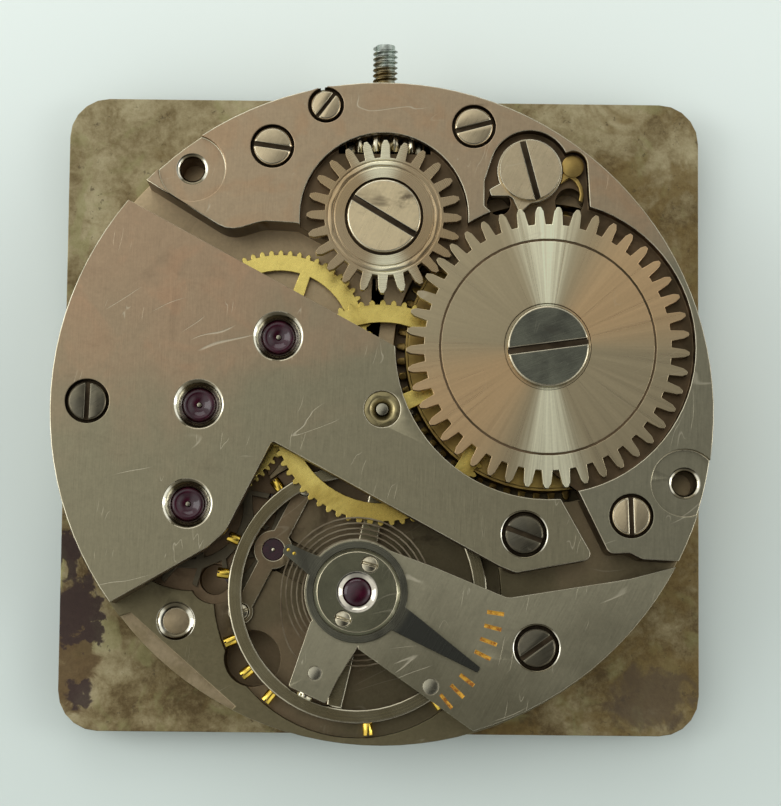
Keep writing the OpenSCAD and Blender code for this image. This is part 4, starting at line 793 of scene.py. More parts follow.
class Palette:
    """The finishes of the movement, named for what they are on."""

    # In the finishes below, drift is a tint by place that is partly tarnish and partly painted
    # light and shade.
    bridge = Metal(
        "brushed_nickel", paint(170, 150, 122), 0.34, second=paint(144, 139, 117),
        drift=(0.03, -0.03), pivot=(5, 1), blush=paint(176, 142, 108), blushes=0.4,
        grain=Grain.STRAIGHT, turn=88, strength=0.1, hairlines=0.5, stain=0.14,
    )
    train_bridge = Metal(
        "brushed_nickel_left", paint(164, 141, 114), 0.34, second=paint(143, 136, 111),
        drift=(0.02, -0.06), pivot=(-6.5, 2.2), blush=paint(176, 142, 112), blushes=0.5,
        grain=Grain.STRAIGHT, turn=88, strength=0.1, hairlines=0.55, stain=0.14,
    )
    cock = Metal(
        "brushed_nickel_cock", paint(156, 150, 126), 0.36, second=paint(120, 115, 94),
        drift=(0.0, -0.1), pivot=(4, -9.2), grain=Grain.STRAIGHT, turn=62, strength=0.12,
        hairlines=0.6, stain=0.25,
    )
    plate = Metal(
        "matt_nickel", paint(184, 163, 129), 0.42, second=paint(112, 104, 79),
        drift=(-0.02, -0.04), pivot=(0, -2), strength=0.14, hairlines=0.15, stain=0.3,
        relief=0.004,
    )
    step = Metal(
        "tan_nickel", paint(160, 144, 116), 0.45, second=paint(134, 120, 92), cloud=0.9,
        strength=0.2, stain=0.3, relief=0.006,
    )
    # The pallet bridge's own colour; on the plate's pocket floors and the case holes' walls it is
    # painted shade.
    deep = Metal(
        "dull_nickel", paint(132, 112, 88), 0.42, second=paint(104, 95, 73),
        drift=(0.03, -0.02), grain=Grain.POLISHED, strength=0.16, hairlines=0.1, stain=0.5,
        relief=0.004,
    )
    # Painted shade on recess floors and walls and in the ratchet wheel's groove.
    floor = Metal(
        "recess_floor", paint(110, 92, 70), 0.4, second=paint(84, 72, 54), cloud=0.6,
        strength=0.2, stain=0.5,
    )
    bevel = Metal(
        "bright_nickel", paint(206, 198, 174), 0.24, second=paint(182, 172, 146), cloud=0.7,
        strength=0.1, stain=0.3,
    )
    # Polished sinks with painted highlight crescents at the left and right and painted shade above
    # and below.
    sink = SinkPaintedCrescents(
        "polished_sink", paint(226, 222, 204), 0.14, second=paint(198, 192, 174), strength=0.04,
        dull=paint(112, 104, 84),
        middles=(*Places.JEWELS, *Places.BRIGHT_SCREWS, *Places.CASE_HOLES, Places.FOOT),
    )
    cup = Metal(
        "polished_cup", paint(206, 200, 184), 0.12, second=paint(178, 170, 156), strength=0.04,
    )
    # Painted shade in screw slots, round the bridge screws, round the ratchet screw and on the
    # crown wheel's core.
    recess = Metal(
        "grimy_recess", paint(70, 60, 46), 0.5, second=paint(50, 42, 32), cloud=1.2, strength=0.2,
        stain=0.4,
    )
    dial = Tarnish("tarnished_blank", paint(138, 124, 94), 0.5)
    # The ratchet and crown wheels carry painted light: a painted highlight bow, a painted tint by
    # angle and, on the ratchet, a painted brightening by place.
    ratchet = SunrayPaintedSheen(
        "sunray_steel", paint(178, 163, 131), 0.3, grain=Grain.RAYS, centre=Places.BARREL,
        strength=0.12, flash=paint(253, 248, 214), glow=paint(206, 174, 131),
        fade=(0.006, 0.02), hairlines=0.2, relief=0.0016,
    )
    crown_wheel = SunrayPaintedSheen(
        "crown_wheel_steel", paint(166, 147, 116), 0.28, grain=Grain.RINGS, centre=Places.CROWN,
        strength=0.12, flash=paint(230, 224, 192), flash_turn=95, flash_width=0.62,
        glow=paint(164, 142, 108), glow_turn=150, relief=0.0015,
    )
    screw = Metal(
        "screw_steel", paint(208, 188, 152), 0.3, second=paint(192, 176, 144),
        grain=Grain.STRAIGHT, turn=64, strength=0.12, hairlines=0.25, stain=0.25, relief=0.0015,
    )
    crown_screw = Metal(
        "spotted_screw_steel", paint(232, 211, 170), 0.3, second=paint(214, 196, 158),
        grain=Grain.STRAIGHT, turn=64, strength=0.12, hairlines=0.25, stain=0.8, relief=0.0015,
    )
    grey_screw = Metal(
        "grey_screw_steel", paint(116, 110, 92), 0.3, second=paint(92, 88, 76), cloud=0.8,
        grain=Grain.STRAIGHT, turn=28, strength=0.2, hairlines=0.3, stain=0.25, relief=0.0015,
    )
    tempered = Metal(
        "tempered_steel", paint(120, 121, 106), 0.26, second=paint(92, 92, 82), cloud=0.9,
        grain=Grain.STRAIGHT, turn=20, strength=0.3, hairlines=0.2, stain=0.3, relief=0.0015,
    )
    steel = Metal(
        "plain_steel", paint(160, 155, 136), 0.26, second=paint(132, 127, 108), cloud=0.6,
        strength=0.1, stain=0.2,
    )
    dull_steel = Metal(
        "dull_steel", paint(112, 104, 86), 0.36, second=paint(88, 80, 64), cloud=0.6,
        strength=0.14, stain=0.4,
    )
    regulator = RegulatorSteel(
        "regulator_steel", paint(104, 102, 88), 0.26, second=paint(80, 78, 68), cloud=0.5,
        grain=Grain.RINGS, centre=Places.BALANCE, strength=0.2, tail=paint(70, 70, 64),
    )
    end_piece = Metal(
        "end_piece_steel", paint(124, 122, 99), 0.24, second=paint(104, 102, 83), cloud=0.7,
        grain=Grain.RINGS, centre=Places.BALANCE, strength=0.1, hairlines=0.2,
    )
    rim = Metal(
        "balance_rim", paint(128, 120, 94), 0.26, second=paint(110, 100, 74), cloud=0.4,
        grain=Grain.RINGS, centre=Places.BALANCE, strength=0.14, stain=0.15,
    )
    brass = Metal(
        "gilt_brass", paint(246, 222, 126), 0.28, second=paint(196, 170, 88), cloud=0.5,
        drift=(0.035, -0.024), strength=0.12, stain=0.25, relief=0.0015,
    )
    drum = Metal(
        "barrel_brass", paint(186, 160, 92), 0.34, second=paint(150, 124, 72), cloud=0.4,
        grain=Grain.RINGS, centre=Places.BARREL, strength=0.12, stain=0.4,
    )
    bush = Metal(
        "bush_brass", paint(160, 148, 108), 0.3, second=paint(120, 110, 80), cloud=1.5,
        strength=0.1, stain=0.3,
    )
    gilt_screw = Metal(
        "gilt_screw", paint(240, 208, 92), 0.2, second=paint(214, 178, 76), cloud=1.5,
        strength=0.08,
    )
    spring = Metal(
        "spring_steel", paint(156, 144, 120), 0.3, second=paint(112, 98, 78), cloud=0.8,
        strength=0.1,
    )
    stem_steel = Metal(
        "stem_steel", paint(160, 168, 160), 0.26, second=paint(112, 98, 66), cloud=1.4,
        drift=(0.0, -0.45), pivot=(0, 12.55), strength=0.2, stain=0.6,
    )
    bright_steel = Metal(
        "bright_steel", paint(214, 206, 180), 0.18, second=paint(186, 176, 150), cloud=1.2,
        strength=0.08, stain=0.15,
    )
    ruby = Ruby("polished_ruby", paint(40, 7, 19), 0.1)
    gilding = Gilding("gilt_fill", paint(206, 158, 56), 0.35)


class Bench:
    """Blender's modelling operators, each called with only the piece in hand selected.

    Attributes:
        SLACK: Distance in millimetres within which points of a CAD node become one.
        FLAT: Least angle in degrees between two faces of a CAD node that stay two.
        NO_WIDTH: Distance in metres within which a lathe's first and last ring are one.
    """

    SLACK: float = 0.0005
    FLAT: float = 0.6
    NO_WIDTH: float = 1e-7

    @staticmethod
    def release() -> None:
        """Leaves object mode with nothing selected."""
        if bpy.context.object is not None and bpy.context.object.mode != "OBJECT":
            bpy.ops.object.mode_set(mode="OBJECT")
        bpy.ops.object.select_all(action="DESELECT")

    @classmethod
    def take(cls, piece: Piece) -> None:
        """Selects one piece and nothing else."""
        cls.release()
        piece.select_set(True)
        bpy.context.view_layer.objects.active = piece

    @staticmethod
    def open_whole() -> None:
        """Opens the piece in hand in edit mode with all of it selected."""
        bpy.ops.object.mode_set(mode="EDIT")
        bpy.ops.mesh.select_all(action="SELECT")

    @staticmethod
    def close_solid() -> None:
        """Turns the normals of the open piece outward and leaves edit mode."""
        bpy.ops.mesh.select_all(action="SELECT")
        bpy.ops.mesh.normals_make_consistent(inside=False)
        bpy.ops.object.mode_set(mode="OBJECT")

    @staticmethod
    def modify(piece: Piece, kind: str, **settings: Any) -> None:
        """Puts a modifier on the piece in hand and applies it.

        Args:
            piece: The piece.
            kind: Type of the modifier.
            settings: Its properties.
        """
        bpy.ops.object.modifier_add(type=kind)
        modifier = piece.modifiers[-1]
        for key, value in settings.items():
            setattr(modifier, key, value)
        bpy.ops.object.modifier_apply(modifier=modifier.name)

    @staticmethod
    def coat(piece: Piece, finish: Finish) -> None:
        """Gives a whole piece one finish."""
        piece.data.materials.clear()
        piece.data.materials.append(finish.material())

    @classmethod
    def copy(cls, node: str, name: str) -> Piece:
        """A merged copy of a CAD node, ready to be worked on.

        Args:
            node: Name of the CAD node.
            name: Name of the new piece.

        Returns:
            The copy, with no parent and no material.
        """
        cls.take(bpy.data.objects[node])
        bpy.ops.object.duplicate()
        piece = bpy.context.object
        piece.name = name
        piece.data.name = name
        piece.parent = None
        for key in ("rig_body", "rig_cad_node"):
            if key in piece:
                del piece[key]
        piece.data.materials.clear()
        cls.take(piece)
        if piece.data.has_custom_normals:
            bpy.ops.mesh.customdata_custom_splitnormals_clear()
        cls.open_whole()
        bpy.ops.mesh.remove_doubles(threshold=cls.SLACK * MM)
        bpy.ops.mesh.dissolve_limited(angle_limit=math.radians(cls.FLAT))
        bpy.ops.object.mode_set(mode="OBJECT")
        return piece

    @classmethod
    def ease(cls, piece: Piece, width: float, slot: int = -1, angle: float = 38) -> None:
        """Bevels the sharp edges of a piece.

        Args:
            piece: The piece.
            width: Width of the bevel in millimetres.
            slot: Material slot of the bevelled faces, or -1 to take their neighbours'.
            angle: Least angle in degrees between two faces that is bevelled.
        """
        cls.take(piece)
        cls.modify(
            piece, "BEVEL", width=width * MM, segments=2, limit_method="ANGLE",
            angle_limit=math.radians(angle), use_clamp_overlap=False, material=slot,
        )

    @classmethod
    def smooth(cls, piece: Piece, angle: float = 40) -> None:
        """Shades a piece smoothly but for its sharp edges, with broad faces kept flat."""
        cls.take(piece)
        bpy.ops.object.shade_smooth_by_angle(angle=math.radians(angle))
        cls.modify(piece, "WEIGHTED_NORMAL", keep_sharp=True)

    @classmethod
    def pick(cls, piece: Piece, test: Callable[[Vector], bool], kind: str = "VERT") -> int:
        """Opens a piece in edit mode with only some of its corners, edges or faces selected.

        Args:
            piece: The piece.
            test: Says yes or no to a corner, in millimetres.
            kind: "VERT", "EDGE" or "FACE": what is selected where all corners pass.

        Returns:
            How many were selected.
        """
        cls.take(piece)
        bpy.ops.object.mode_set(mode="EDIT")
        bpy.ops.mesh.select_mode(type=kind)
        bpy.ops.mesh.select_all(action="DESELECT")
        bpy.ops.object.mode_set(mode="OBJECT")
        mesh = piece.data
        passed = [test(v.co / MM) for v in mesh.vertices]
        if kind == "VERT":
            mesh.vertices.foreach_set("select", passed)
            count = sum(passed)
        else:
            count = 0
            for part in mesh.edges if kind == "EDGE" else mesh.polygons:
                part.select = all(passed[i] for i in part.vertices)
                count += part.select
        bpy.ops.object.mode_set(mode="EDIT")
        return count

    @staticmethod
    def choose(
        piece: Piece, finish: Optional[Finish], test: Callable[[Vector, Vector], bool]
    ) -> None:
        """Gives a finish to the faces whose corners all pass a test.

        Args:
            piece: The piece.
            finish: The finish, or nothing for the piece's own.
            test: Says yes or no to a corner in millimetres and the normal of its face.
        """
        mesh = piece.data
        slot = 0 if finish is None else mesh.materials.find(finish.name)
        if slot < 0:
            mesh.materials.append(finish.material())
            slot = len(mesh.materials) - 1
        chosen = 0
        for polygon in mesh.polygons:
            if all(test(mesh.vertices[i].co / MM, polygon.normal) for i in polygon.vertices):
                polygon.material_index = slot
                chosen += 1
        LOG.info("%s: %s on %d faces", piece.name, mesh.materials[slot].name, chosen)

    @classmethod
    def lathe(
        cls, name: str, profile: Sequence[Point], centre: Point, steps: int = 48,
        closed: bool = False,
    ) -> Piece:
        """Turns a piece: a ring that is extruded and drawn in or out, step by step.

        Args:
            name: Name of the piece.
            profile: Radius and height of each ring in millimetres.
            centre: Axis of the piece in millimetres.
            steps: Facets round the axis.
            closed: Whether the last ring is joined to the first, as round a hole.

        Returns:
            The turned piece.
        """
        cls.release()
        axis = (centre[0] * MM, centre[1] * MM)
        radius, level = profile[0]
        bpy.ops.mesh.primitive_circle_add(
            vertices=steps, radius=radius * MM, location=(0, 0, 0), fill_type="NOTHING"
        )
        piece = bpy.context.object
        piece.name = name
        piece.data.name = name
        cls.open_whole()
        bpy.ops.transform.translate(value=(axis[0], axis[1], level * MM))
        if not closed:
            bpy.ops.mesh.edge_face_add()
        for new_radius, new_level in profile[1:]:
            bpy.ops.mesh.extrude_region_move(
                TRANSFORM_OT_translate={"value": (0, 0, (new_level - level) * MM)}
            )
            factor = new_radius / radius
            bpy.ops.transform.resize(
                value=(factor, factor, 1), center_override=(axis[0], axis[1], new_level * MM)
            )
            radius, level = new_radius, new_level
        if closed:
            bpy.ops.mesh.select_all(action="SELECT")
            bpy.ops.mesh.remove_doubles(threshold=cls.NO_WIDTH)
        cls.close_solid()
        return piece

    @classmethod
    def merge(cls, name: str, pieces: Sequence[Piece]) -> Piece:
        """Joins pieces into the first of them.

        Args:
            name: Name of the joined piece.
            pieces: The pieces.

        Returns:
            The joined piece.
        """
        cls.take(pieces[0])
        for piece in pieces:
            piece.select_set(True)
        bpy.ops.object.join()
        joined = bpy.context.object
        joined.name = name
        joined.data.name = name
        return joined


@dataclass
class Assembly:
    """A sub-assembly of the movement.

    Attributes:
        bodies: Body of each CAD node.
        slots: Material slot of each CAD node in the record; not used.
    """

    bodies: Mapping[str, str]
    slots: Mapping[str, str]

    def hold(self, piece: Piece, node: str) -> None:
        """Puts a finished piece in the place of a CAD node.

        Args:
            piece: The piece.
            node: The CAD node that it stands for.
        """
        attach(piece, self.bodies[node])
        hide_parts(node)
        LOG.info("%s: %d faces, for %s", piece.name, len(piece.data.polygons), node)

    def polish_jewels(self, name: str, jewels: Sequence[Piece], node: str) -> None:
        """Joins turned jewels, polishes them and puts them in the place of a CAD node.

        Args:
            name: Name of the joined piece.
            jewels: The jewels.
            node: The CAD node.
        """
        piece = Bench.merge(name, jewels)
        Bench.coat(piece, Palette.ruby)
        Bench.smooth(piece)
        self.hold(piece, node)

    @staticmethod
    def soil_slots(piece: Piece, heads: Sequence[tuple[Point, float, float]]) -> None:
        """Paints shade into the slots of screw heads.

        Args:
            piece: The piece with the screws.
            heads: Place, radius and top of each head in millimetres.
        """
        Bench.choose(
            piece,
            Palette.recess,
            lambda at, normal: any(
                top - 0.3 < at.z < top - 0.004
                and gap(at, place) < radius + (0.005 if normal.z > 0.9 else -0.02)
                for place, radius, top in heads
            ),
        )

    def refit(
        self,
        node: str,
        finish: Finish,
        edge: float = 0.02,
        edge_finish: Optional[Finish] = None,
        dress: Optional[Callable[[Piece], None]] = None,
        angle: float = 38,
        before: Optional[Callable[[Piece], None]] = None,
    ) -> None:
        """Replaces a CAD node by a merged copy with eased edges.

        Args:
            node: Name of the CAD node.
            finish: Finish of the piece.
            edge: Width of the eased edges in millimetres.
            edge_finish: Finish of the eased edges, if another.
            dress: Called on the eased copy to give other faces their finish.
            angle: Least angle in degrees of an edge that is eased.
            before: Called on the copy before its edges are eased, to cut more detail.
        """
        piece = Bench.copy(node, f"{node}_finished")
        piece.data.materials.append(finish.material())
        if edge_finish is not None:
            piece.data.materials.append(edge_finish.material())
        if before is not None:
            before(piece)
        if edge > 0:
            Bench.ease(piece, edge, 1 if edge_finish is not None else -1, angle=angle)
        if dress is not None:
            dress(piece)
        Bench.smooth(piece)
        self.hold(piece, node)


@dataclass
class Foundation(Assembly):
    """Main plate, dial, bridges and cock.

    Attributes:
        bridge_top: Level of the bridges' upper faces.
        bridge_edge: Width of the bridges' bevel.
        sink_reach: Reach of the polished sinks round the train's jewels.
        sink_floor: Level over which they lie.
        scale_reach: Inner and outer end of the scale's strokes from the balance.
        stroke_dirs: Directions of the strokes from the balance, in degrees.
        stroke_half: Half the width in which a stroke lies.
        stroke_depth: Depth of the strokes.
        rim: Radius within which the bridges' walls get painted shade.
        wall_kept: Distance from the balance within which they are not.
        screw_places: Places of the screws in the bridges.
        screw_hole: Radius of a bridge screw's recess.
        screw_sink: Width of the polished sink round two of them, whose light crescents are painted
            highlight.
        screw_reach: How far from a screw's middle the painted shade reaches.
        grime_floor: Level over which it lies.
        recess_floor: Level over which the barrel bridge's recesses get painted shade.
        case_recess: Inner and outer reach of the recesses round the case screws' holes.
        case_kept: Distance from these holes within which the recesses get no painted shade.
        case_hole: Radius of the holes.
        case_floor: Level of their mouths.
        case_sink: Width of the sinks at their mouths.
        wells: Lowest and highest level of the plate's pockets, whose floors get painted shade.
        well_reach: Radius within which these are.
        step_floor: Level over which the plate's step has a colour of its own.
        step_corner: Place that the step lies left of and below.
        foot_hole: Radius of the hole in the plate that shows the dial's foot.
        foot_floor: Level over which that hole takes the polished sink with painted crescents of
            highlight.
        foot_radius: Radius of the foot.
        collar_top: Level of the top of its collar.
    """

    bridge_top: float = 4.2
    bridge_edge: float = 0.035
    sink_reach: float = 0.95
    sink_floor: float = 3.7
    scale_reach: Point = (4.58, 5.24)
    stroke_dirs: Sequence[float] = (-8, -14, -20, -26, -38, -44, -50)
    stroke_half: float = 0.12
    stroke_depth: float = 0.04
    rim: float = 11.9
    wall_kept: float = 1.5
    screw_places: Sequence[Point] = (*Places.BRIDGE_SCREWS, Places.LEVER_SCREW)
    screw_hole: float = 0.78
    screw_sink: float = 0.07
    screw_reach: float = 0.84
    grime_floor: float = 3.4
    recess_floor: float = 3.5
    case_recess: Point = (0.9, 1.35)
    case_kept: float = 1.25
    case_hole: float = 0.42
    case_floor: float = 3.95
    case_sink: float = 0.15
    wells: Point = (0.5, 2.19)
    well_reach: float = 11.8
    step_floor: float = 1.9
    step_corner: Point = (-4.5, -6.5)
    foot_hole: float = 0.67
    foot_floor: float = 1.7
    foot_radius: float = 0.5
    collar_top: float = 2.06

    def is_bevel(self, at: Vector, normal: Vector) -> bool:
        """Whether a face is part of the bevel along a bridge's upper edge."""
        return at.z > self.bridge_top - self.bridge_edge - 0.02 and 0.05 < normal.z < 0.985

    def soil_bridge(self, piece: Piece) -> None:
        """Paints shade into the recesses round the screws and onto the walls of the bridges, and
        leaves the bevel near the older screws and round the case holes in the bridge's own finish.

        Args:
            piece: The bridge.
        """
        edge = self.bridge_top - self.bridge_edge
        dull_screws = [place for place in self.screw_places if place not in Places.BRIGHT_SCREWS]
        # Painted shade round the screws, in their recesses.
        Bench.choose(
            piece,
            Palette.recess,
            lambda at, normal: (
                nearest(at, self.screw_places) < self.screw_reach
                and self.grime_floor < at.z < edge + 0.01
            ),
        )
        Bench.choose(
            piece,
            None,
            lambda at, normal: self.is_bevel(at, normal) and (
                nearest(at, dull_screws) < self.screw_reach
                or self.case_recess[0] < nearest(at, Places.CASE_HOLES) < self.case_recess[1]
            ),
        )
        # Painted shade on the upright walls of the bridges.
        Bench.choose(
            piece,
            Palette.floor,
            lambda at, normal: (
                is_upright(normal) and at.xy.length < self.rim and at.z < self.bridge_top - 0.02
                and gap(at, Places.BALANCE) > self.wall_kept
            ),
        )

    def soil_barrel_bridge(self, piece: Piece) -> None:
        """Paints shade on the floors of the barrel bridge's recesses, round its screws, on its
        walls and on the walls of its case holes.

        Args:
            piece: The barrel bridge.
        """
        # Painted shade on the floors of the recesses.
        Bench.choose(
            piece,
            Palette.floor,
            lambda at, normal: (
                self.recess_floor < at.z < self.bridge_top - 0.06
                and nearest(at, Places.CASE_HOLES) > self.case_kept
            ),
        )
        self.soil_bridge(piece)
        # Painted shade on the walls of the case holes.
        Bench.choose(
            piece,
            Palette.deep,
            lambda at, normal: (
                nearest(at, Places.CASE_HOLES) < self.case_hole + 0.01 and is_upright(normal)
            ),
        )

    def polish_sinks(self, piece: Piece) -> None:
        """Paints shade into the train bridge's recesses and gives the sinks round its jewels their
        polish and their painted crescents of highlight.

        Args:
            piece: The train bridge.
        """
        self.soil_bridge(piece)
        Bench.choose(
            piece,
            Palette.sink,
            lambda at, normal: (
                nearest(at, Places.JEWELS) < self.sink_reach
                and 0.15 < normal.z < 0.97
                and at.z > self.sink_floor
            ),
        )

    def gild_scale(self, piece: Piece) -> None:
        """Fills the engraved strokes of the cock's scale with gilding.

        Args:
            piece: The balance cock.
        """
        # Painted shade round the cock's screws and on its walls, then the gilding.
        self.soil_bridge(piece)
        low = self.bridge_top - self.stroke_depth - 0.005
        middle = Vector(Places.BALANCE)

        def in_stroke(at: Vector, normal: Vector) -> bool:
            """Whether a corner of a face lies in one of the strokes."""
            off = at.xy - middle
            angle = math.degrees(math.atan2(off.y, off.x))
            aside = min(abs(math.radians(angle - a)) for a in self.stroke_dirs) * off.length
            return (
                self.scale_reach[0] < off.length < self.scale_reach[1]
                and aside < self.stroke_half
                and at.z > low
                and (at.z < self.bridge_top - 0.004 or normal.z < 0.98)
            )

        Bench.choose(piece, Palette.gilding, in_stroke)

    def deepen_wells(self, piece: Piece) -> None:
        """Paints shade on the floors of the main plate's pockets, and gives its step a colour of
        its own and the hole over the dial's foot a polished sink with painted crescents of
        highlight.

        Args:
            piece: The main plate.
        """
        low, high = self.wells
        # Painted shade on the floors of the pockets.
        Bench.choose(
            piece,
            Palette.deep,
            lambda at, normal: low < at.z < high and at.xy.length < self.well_reach,
        )
        Bench.choose(
            piece,
            Palette.step,
            lambda at, normal: (
                self.step_floor < at.z < high
                and at.x < self.step_corner[0]
                and at.y < self.step_corner[1]
            ),
        )
        # Polished sink with painted crescents of highlight in the hole over the dial's foot.
        Bench.choose(
            piece,
            Palette.sink,
            lambda at, normal: (
                gap(at, Places.FOOT) < self.foot_hole + 0.05
                and (is_upright(normal) or 0.05 < normal.z < 0.98)
                and at.z > self.foot_floor
            ),
        )

    def age_foot(self, piece: Piece) -> None:
        """Gives the dial's foot its own metal, a bright edge and the collar it was turned with.

        Args:
            piece: The dial.
        """
        top, outer = self.collar_top, self.foot_hole - 0.012
        low, inner = top - 0.25, self.foot_radius - 0.02
        profile = [
            (inner, low), (outer, low), (outer, top), (outer - 0.07, top - 0.07),
            (inner, top - 0.08), (inner, low),
        ]
        collar = Bench.lathe("foot_collar", profile, Places.FOOT, closed=True)
        # The collar takes the sink finish, with its painted crescents of highlight.
        Bench.coat(collar, Palette.sink)
        Bench.merge(piece.name, [piece, collar])
        foot_reach = self.foot_radius + 0.02
        Bench.choose(
            piece,
            Palette.step,
            lambda at, normal: gap(at, Places.FOOT) < foot_reach and at.z > 0.3,
        )
        Bench.choose(
            piece,
            Palette.bevel,
            lambda at, normal: (
                gap(at, Places.FOOT) < foot_reach
                and at.z > self.foot_floor
                and 0.05 < normal.z < 0.98
            ),
        )

    def sink(
        self, piece: Piece, places: Sequence[Point], radius: float, level: float, width: float
    ) -> None:
        """Cuts a polished sink at the mouths of some holes.

        Args:
            piece: The bridge.
            places: Middles of the holes.
            radius: Their radius.
            level: Level of their mouths.
            width: Width of the sink.
        """
        piece.data.materials.append(Palette.sink.material())
        found = Bench.pick(
            piece,
            lambda at: abs(nearest(at, places) - radius) < 0.01 and abs(at.z - level) < 0.01,
            "EDGE",
        )
        LOG.info("%s: sinks at %d edges", piece.name, found)
        bpy.ops.mesh.bevel(
            offset=width * MM, segments=3, profile=0.5,
            material=len(piece.data.materials) - 1, clamp_overlap=False,
        )
        bpy.ops.object.mode_set(mode="OBJECT")

    def sink_case_holes(self, piece: Piece) -> None:
        """Sinks the case screws' holes in the barrel bridge."""
        self.sink(piece, Places.CASE_HOLES, self.case_hole, self.case_floor, self.case_sink)

    def sink_bright_screws(self, piece: Piece) -> None:
        """Sinks the recesses of the screws with a bright edge."""
        self.sink(piece, Places.BRIGHT_SCREWS, self.screw_hole, self.bridge_top, self.screw_sink)

    def build(self) -> None:
        """Refits the fixed frame of the movement."""
        self.refit("main_plate", Palette.plate, 0.03, dress=self.deepen_wells, angle=50)
        self.refit("dial", Palette.dial, 0.05, dress=self.age_foot)
        self.refit(
            "barrel_bridge", Palette.bridge, self.bridge_edge, Palette.bevel,
            self.soil_barrel_bridge, before=self.sink_case_holes,
        )
        self.refit(
            "train_bridge", Palette.train_bridge, self.bridge_edge, Palette.bevel,
            self.polish_sinks, before=self.sink_bright_screws,
        )
        self.refit(
            "balance_cock", Palette.cock, 0.02, Palette.bevel, self.gild_scale,
            before=self.sink_bright_screws,
        )
        self.refit("pallet_bridge", Palette.deep, 0.03, Palette.bevel)
        self.refit("plate_pins", Palette.steel, 0.03)
        self.refit("centre_bushes", Palette.bush, 0.03)


@dataclass
class Fasteners(Assembly):
    """The screws that hold it all.

    Attributes:
        head_reach: How far from a screw's middle its own finish goes.
        head_radius: Radius of the bridge screws' heads.
        lever_radius: Radius of the setting-lever screw's head.
        head_top: Level of their tops.
    """

    head_reach: float = 0.8
    head_radius: float = 0.68
    lever_radius: float = 0.53
    head_top: float = 4.22

    def soil(self, piece: Piece) -> None:
        """Greys the older screws and paints shade into all slots.

        Args:
            piece: The bridge screws.
        """
        Bench.choose(
            piece,
            Palette.grey_screw,
            lambda at, normal: nearest(at, Places.GREY_SCREWS) < self.head_reach,
        )
        heads = [(place, self.head_radius, self.head_top) for place in Places.BRIDGE_SCREWS]
        self.soil_slots(piece, heads)

    def soil_lever_screw(self, piece: Piece) -> None:
        """Paints shade into the slot of the setting lever's screw."""
        self.soil_slots(piece, [(Places.LEVER_SCREW, self.lever_radius, self.head_top)])

    def build(self) -> None:
        """Refits the screws."""
        self.refit("bridge_screws", Palette.screw, 0.02, Palette.bevel, self.soil, angle=25)
        self.refit("small_screws", Palette.bright_steel, 0.03)
        self.refit(
            "setting_lever_screw", Palette.screw, 0.02, Palette.bevel, self.soil_lever_screw
        )
        self.refit("dial_foot_screws", Palette.steel, 0.02)


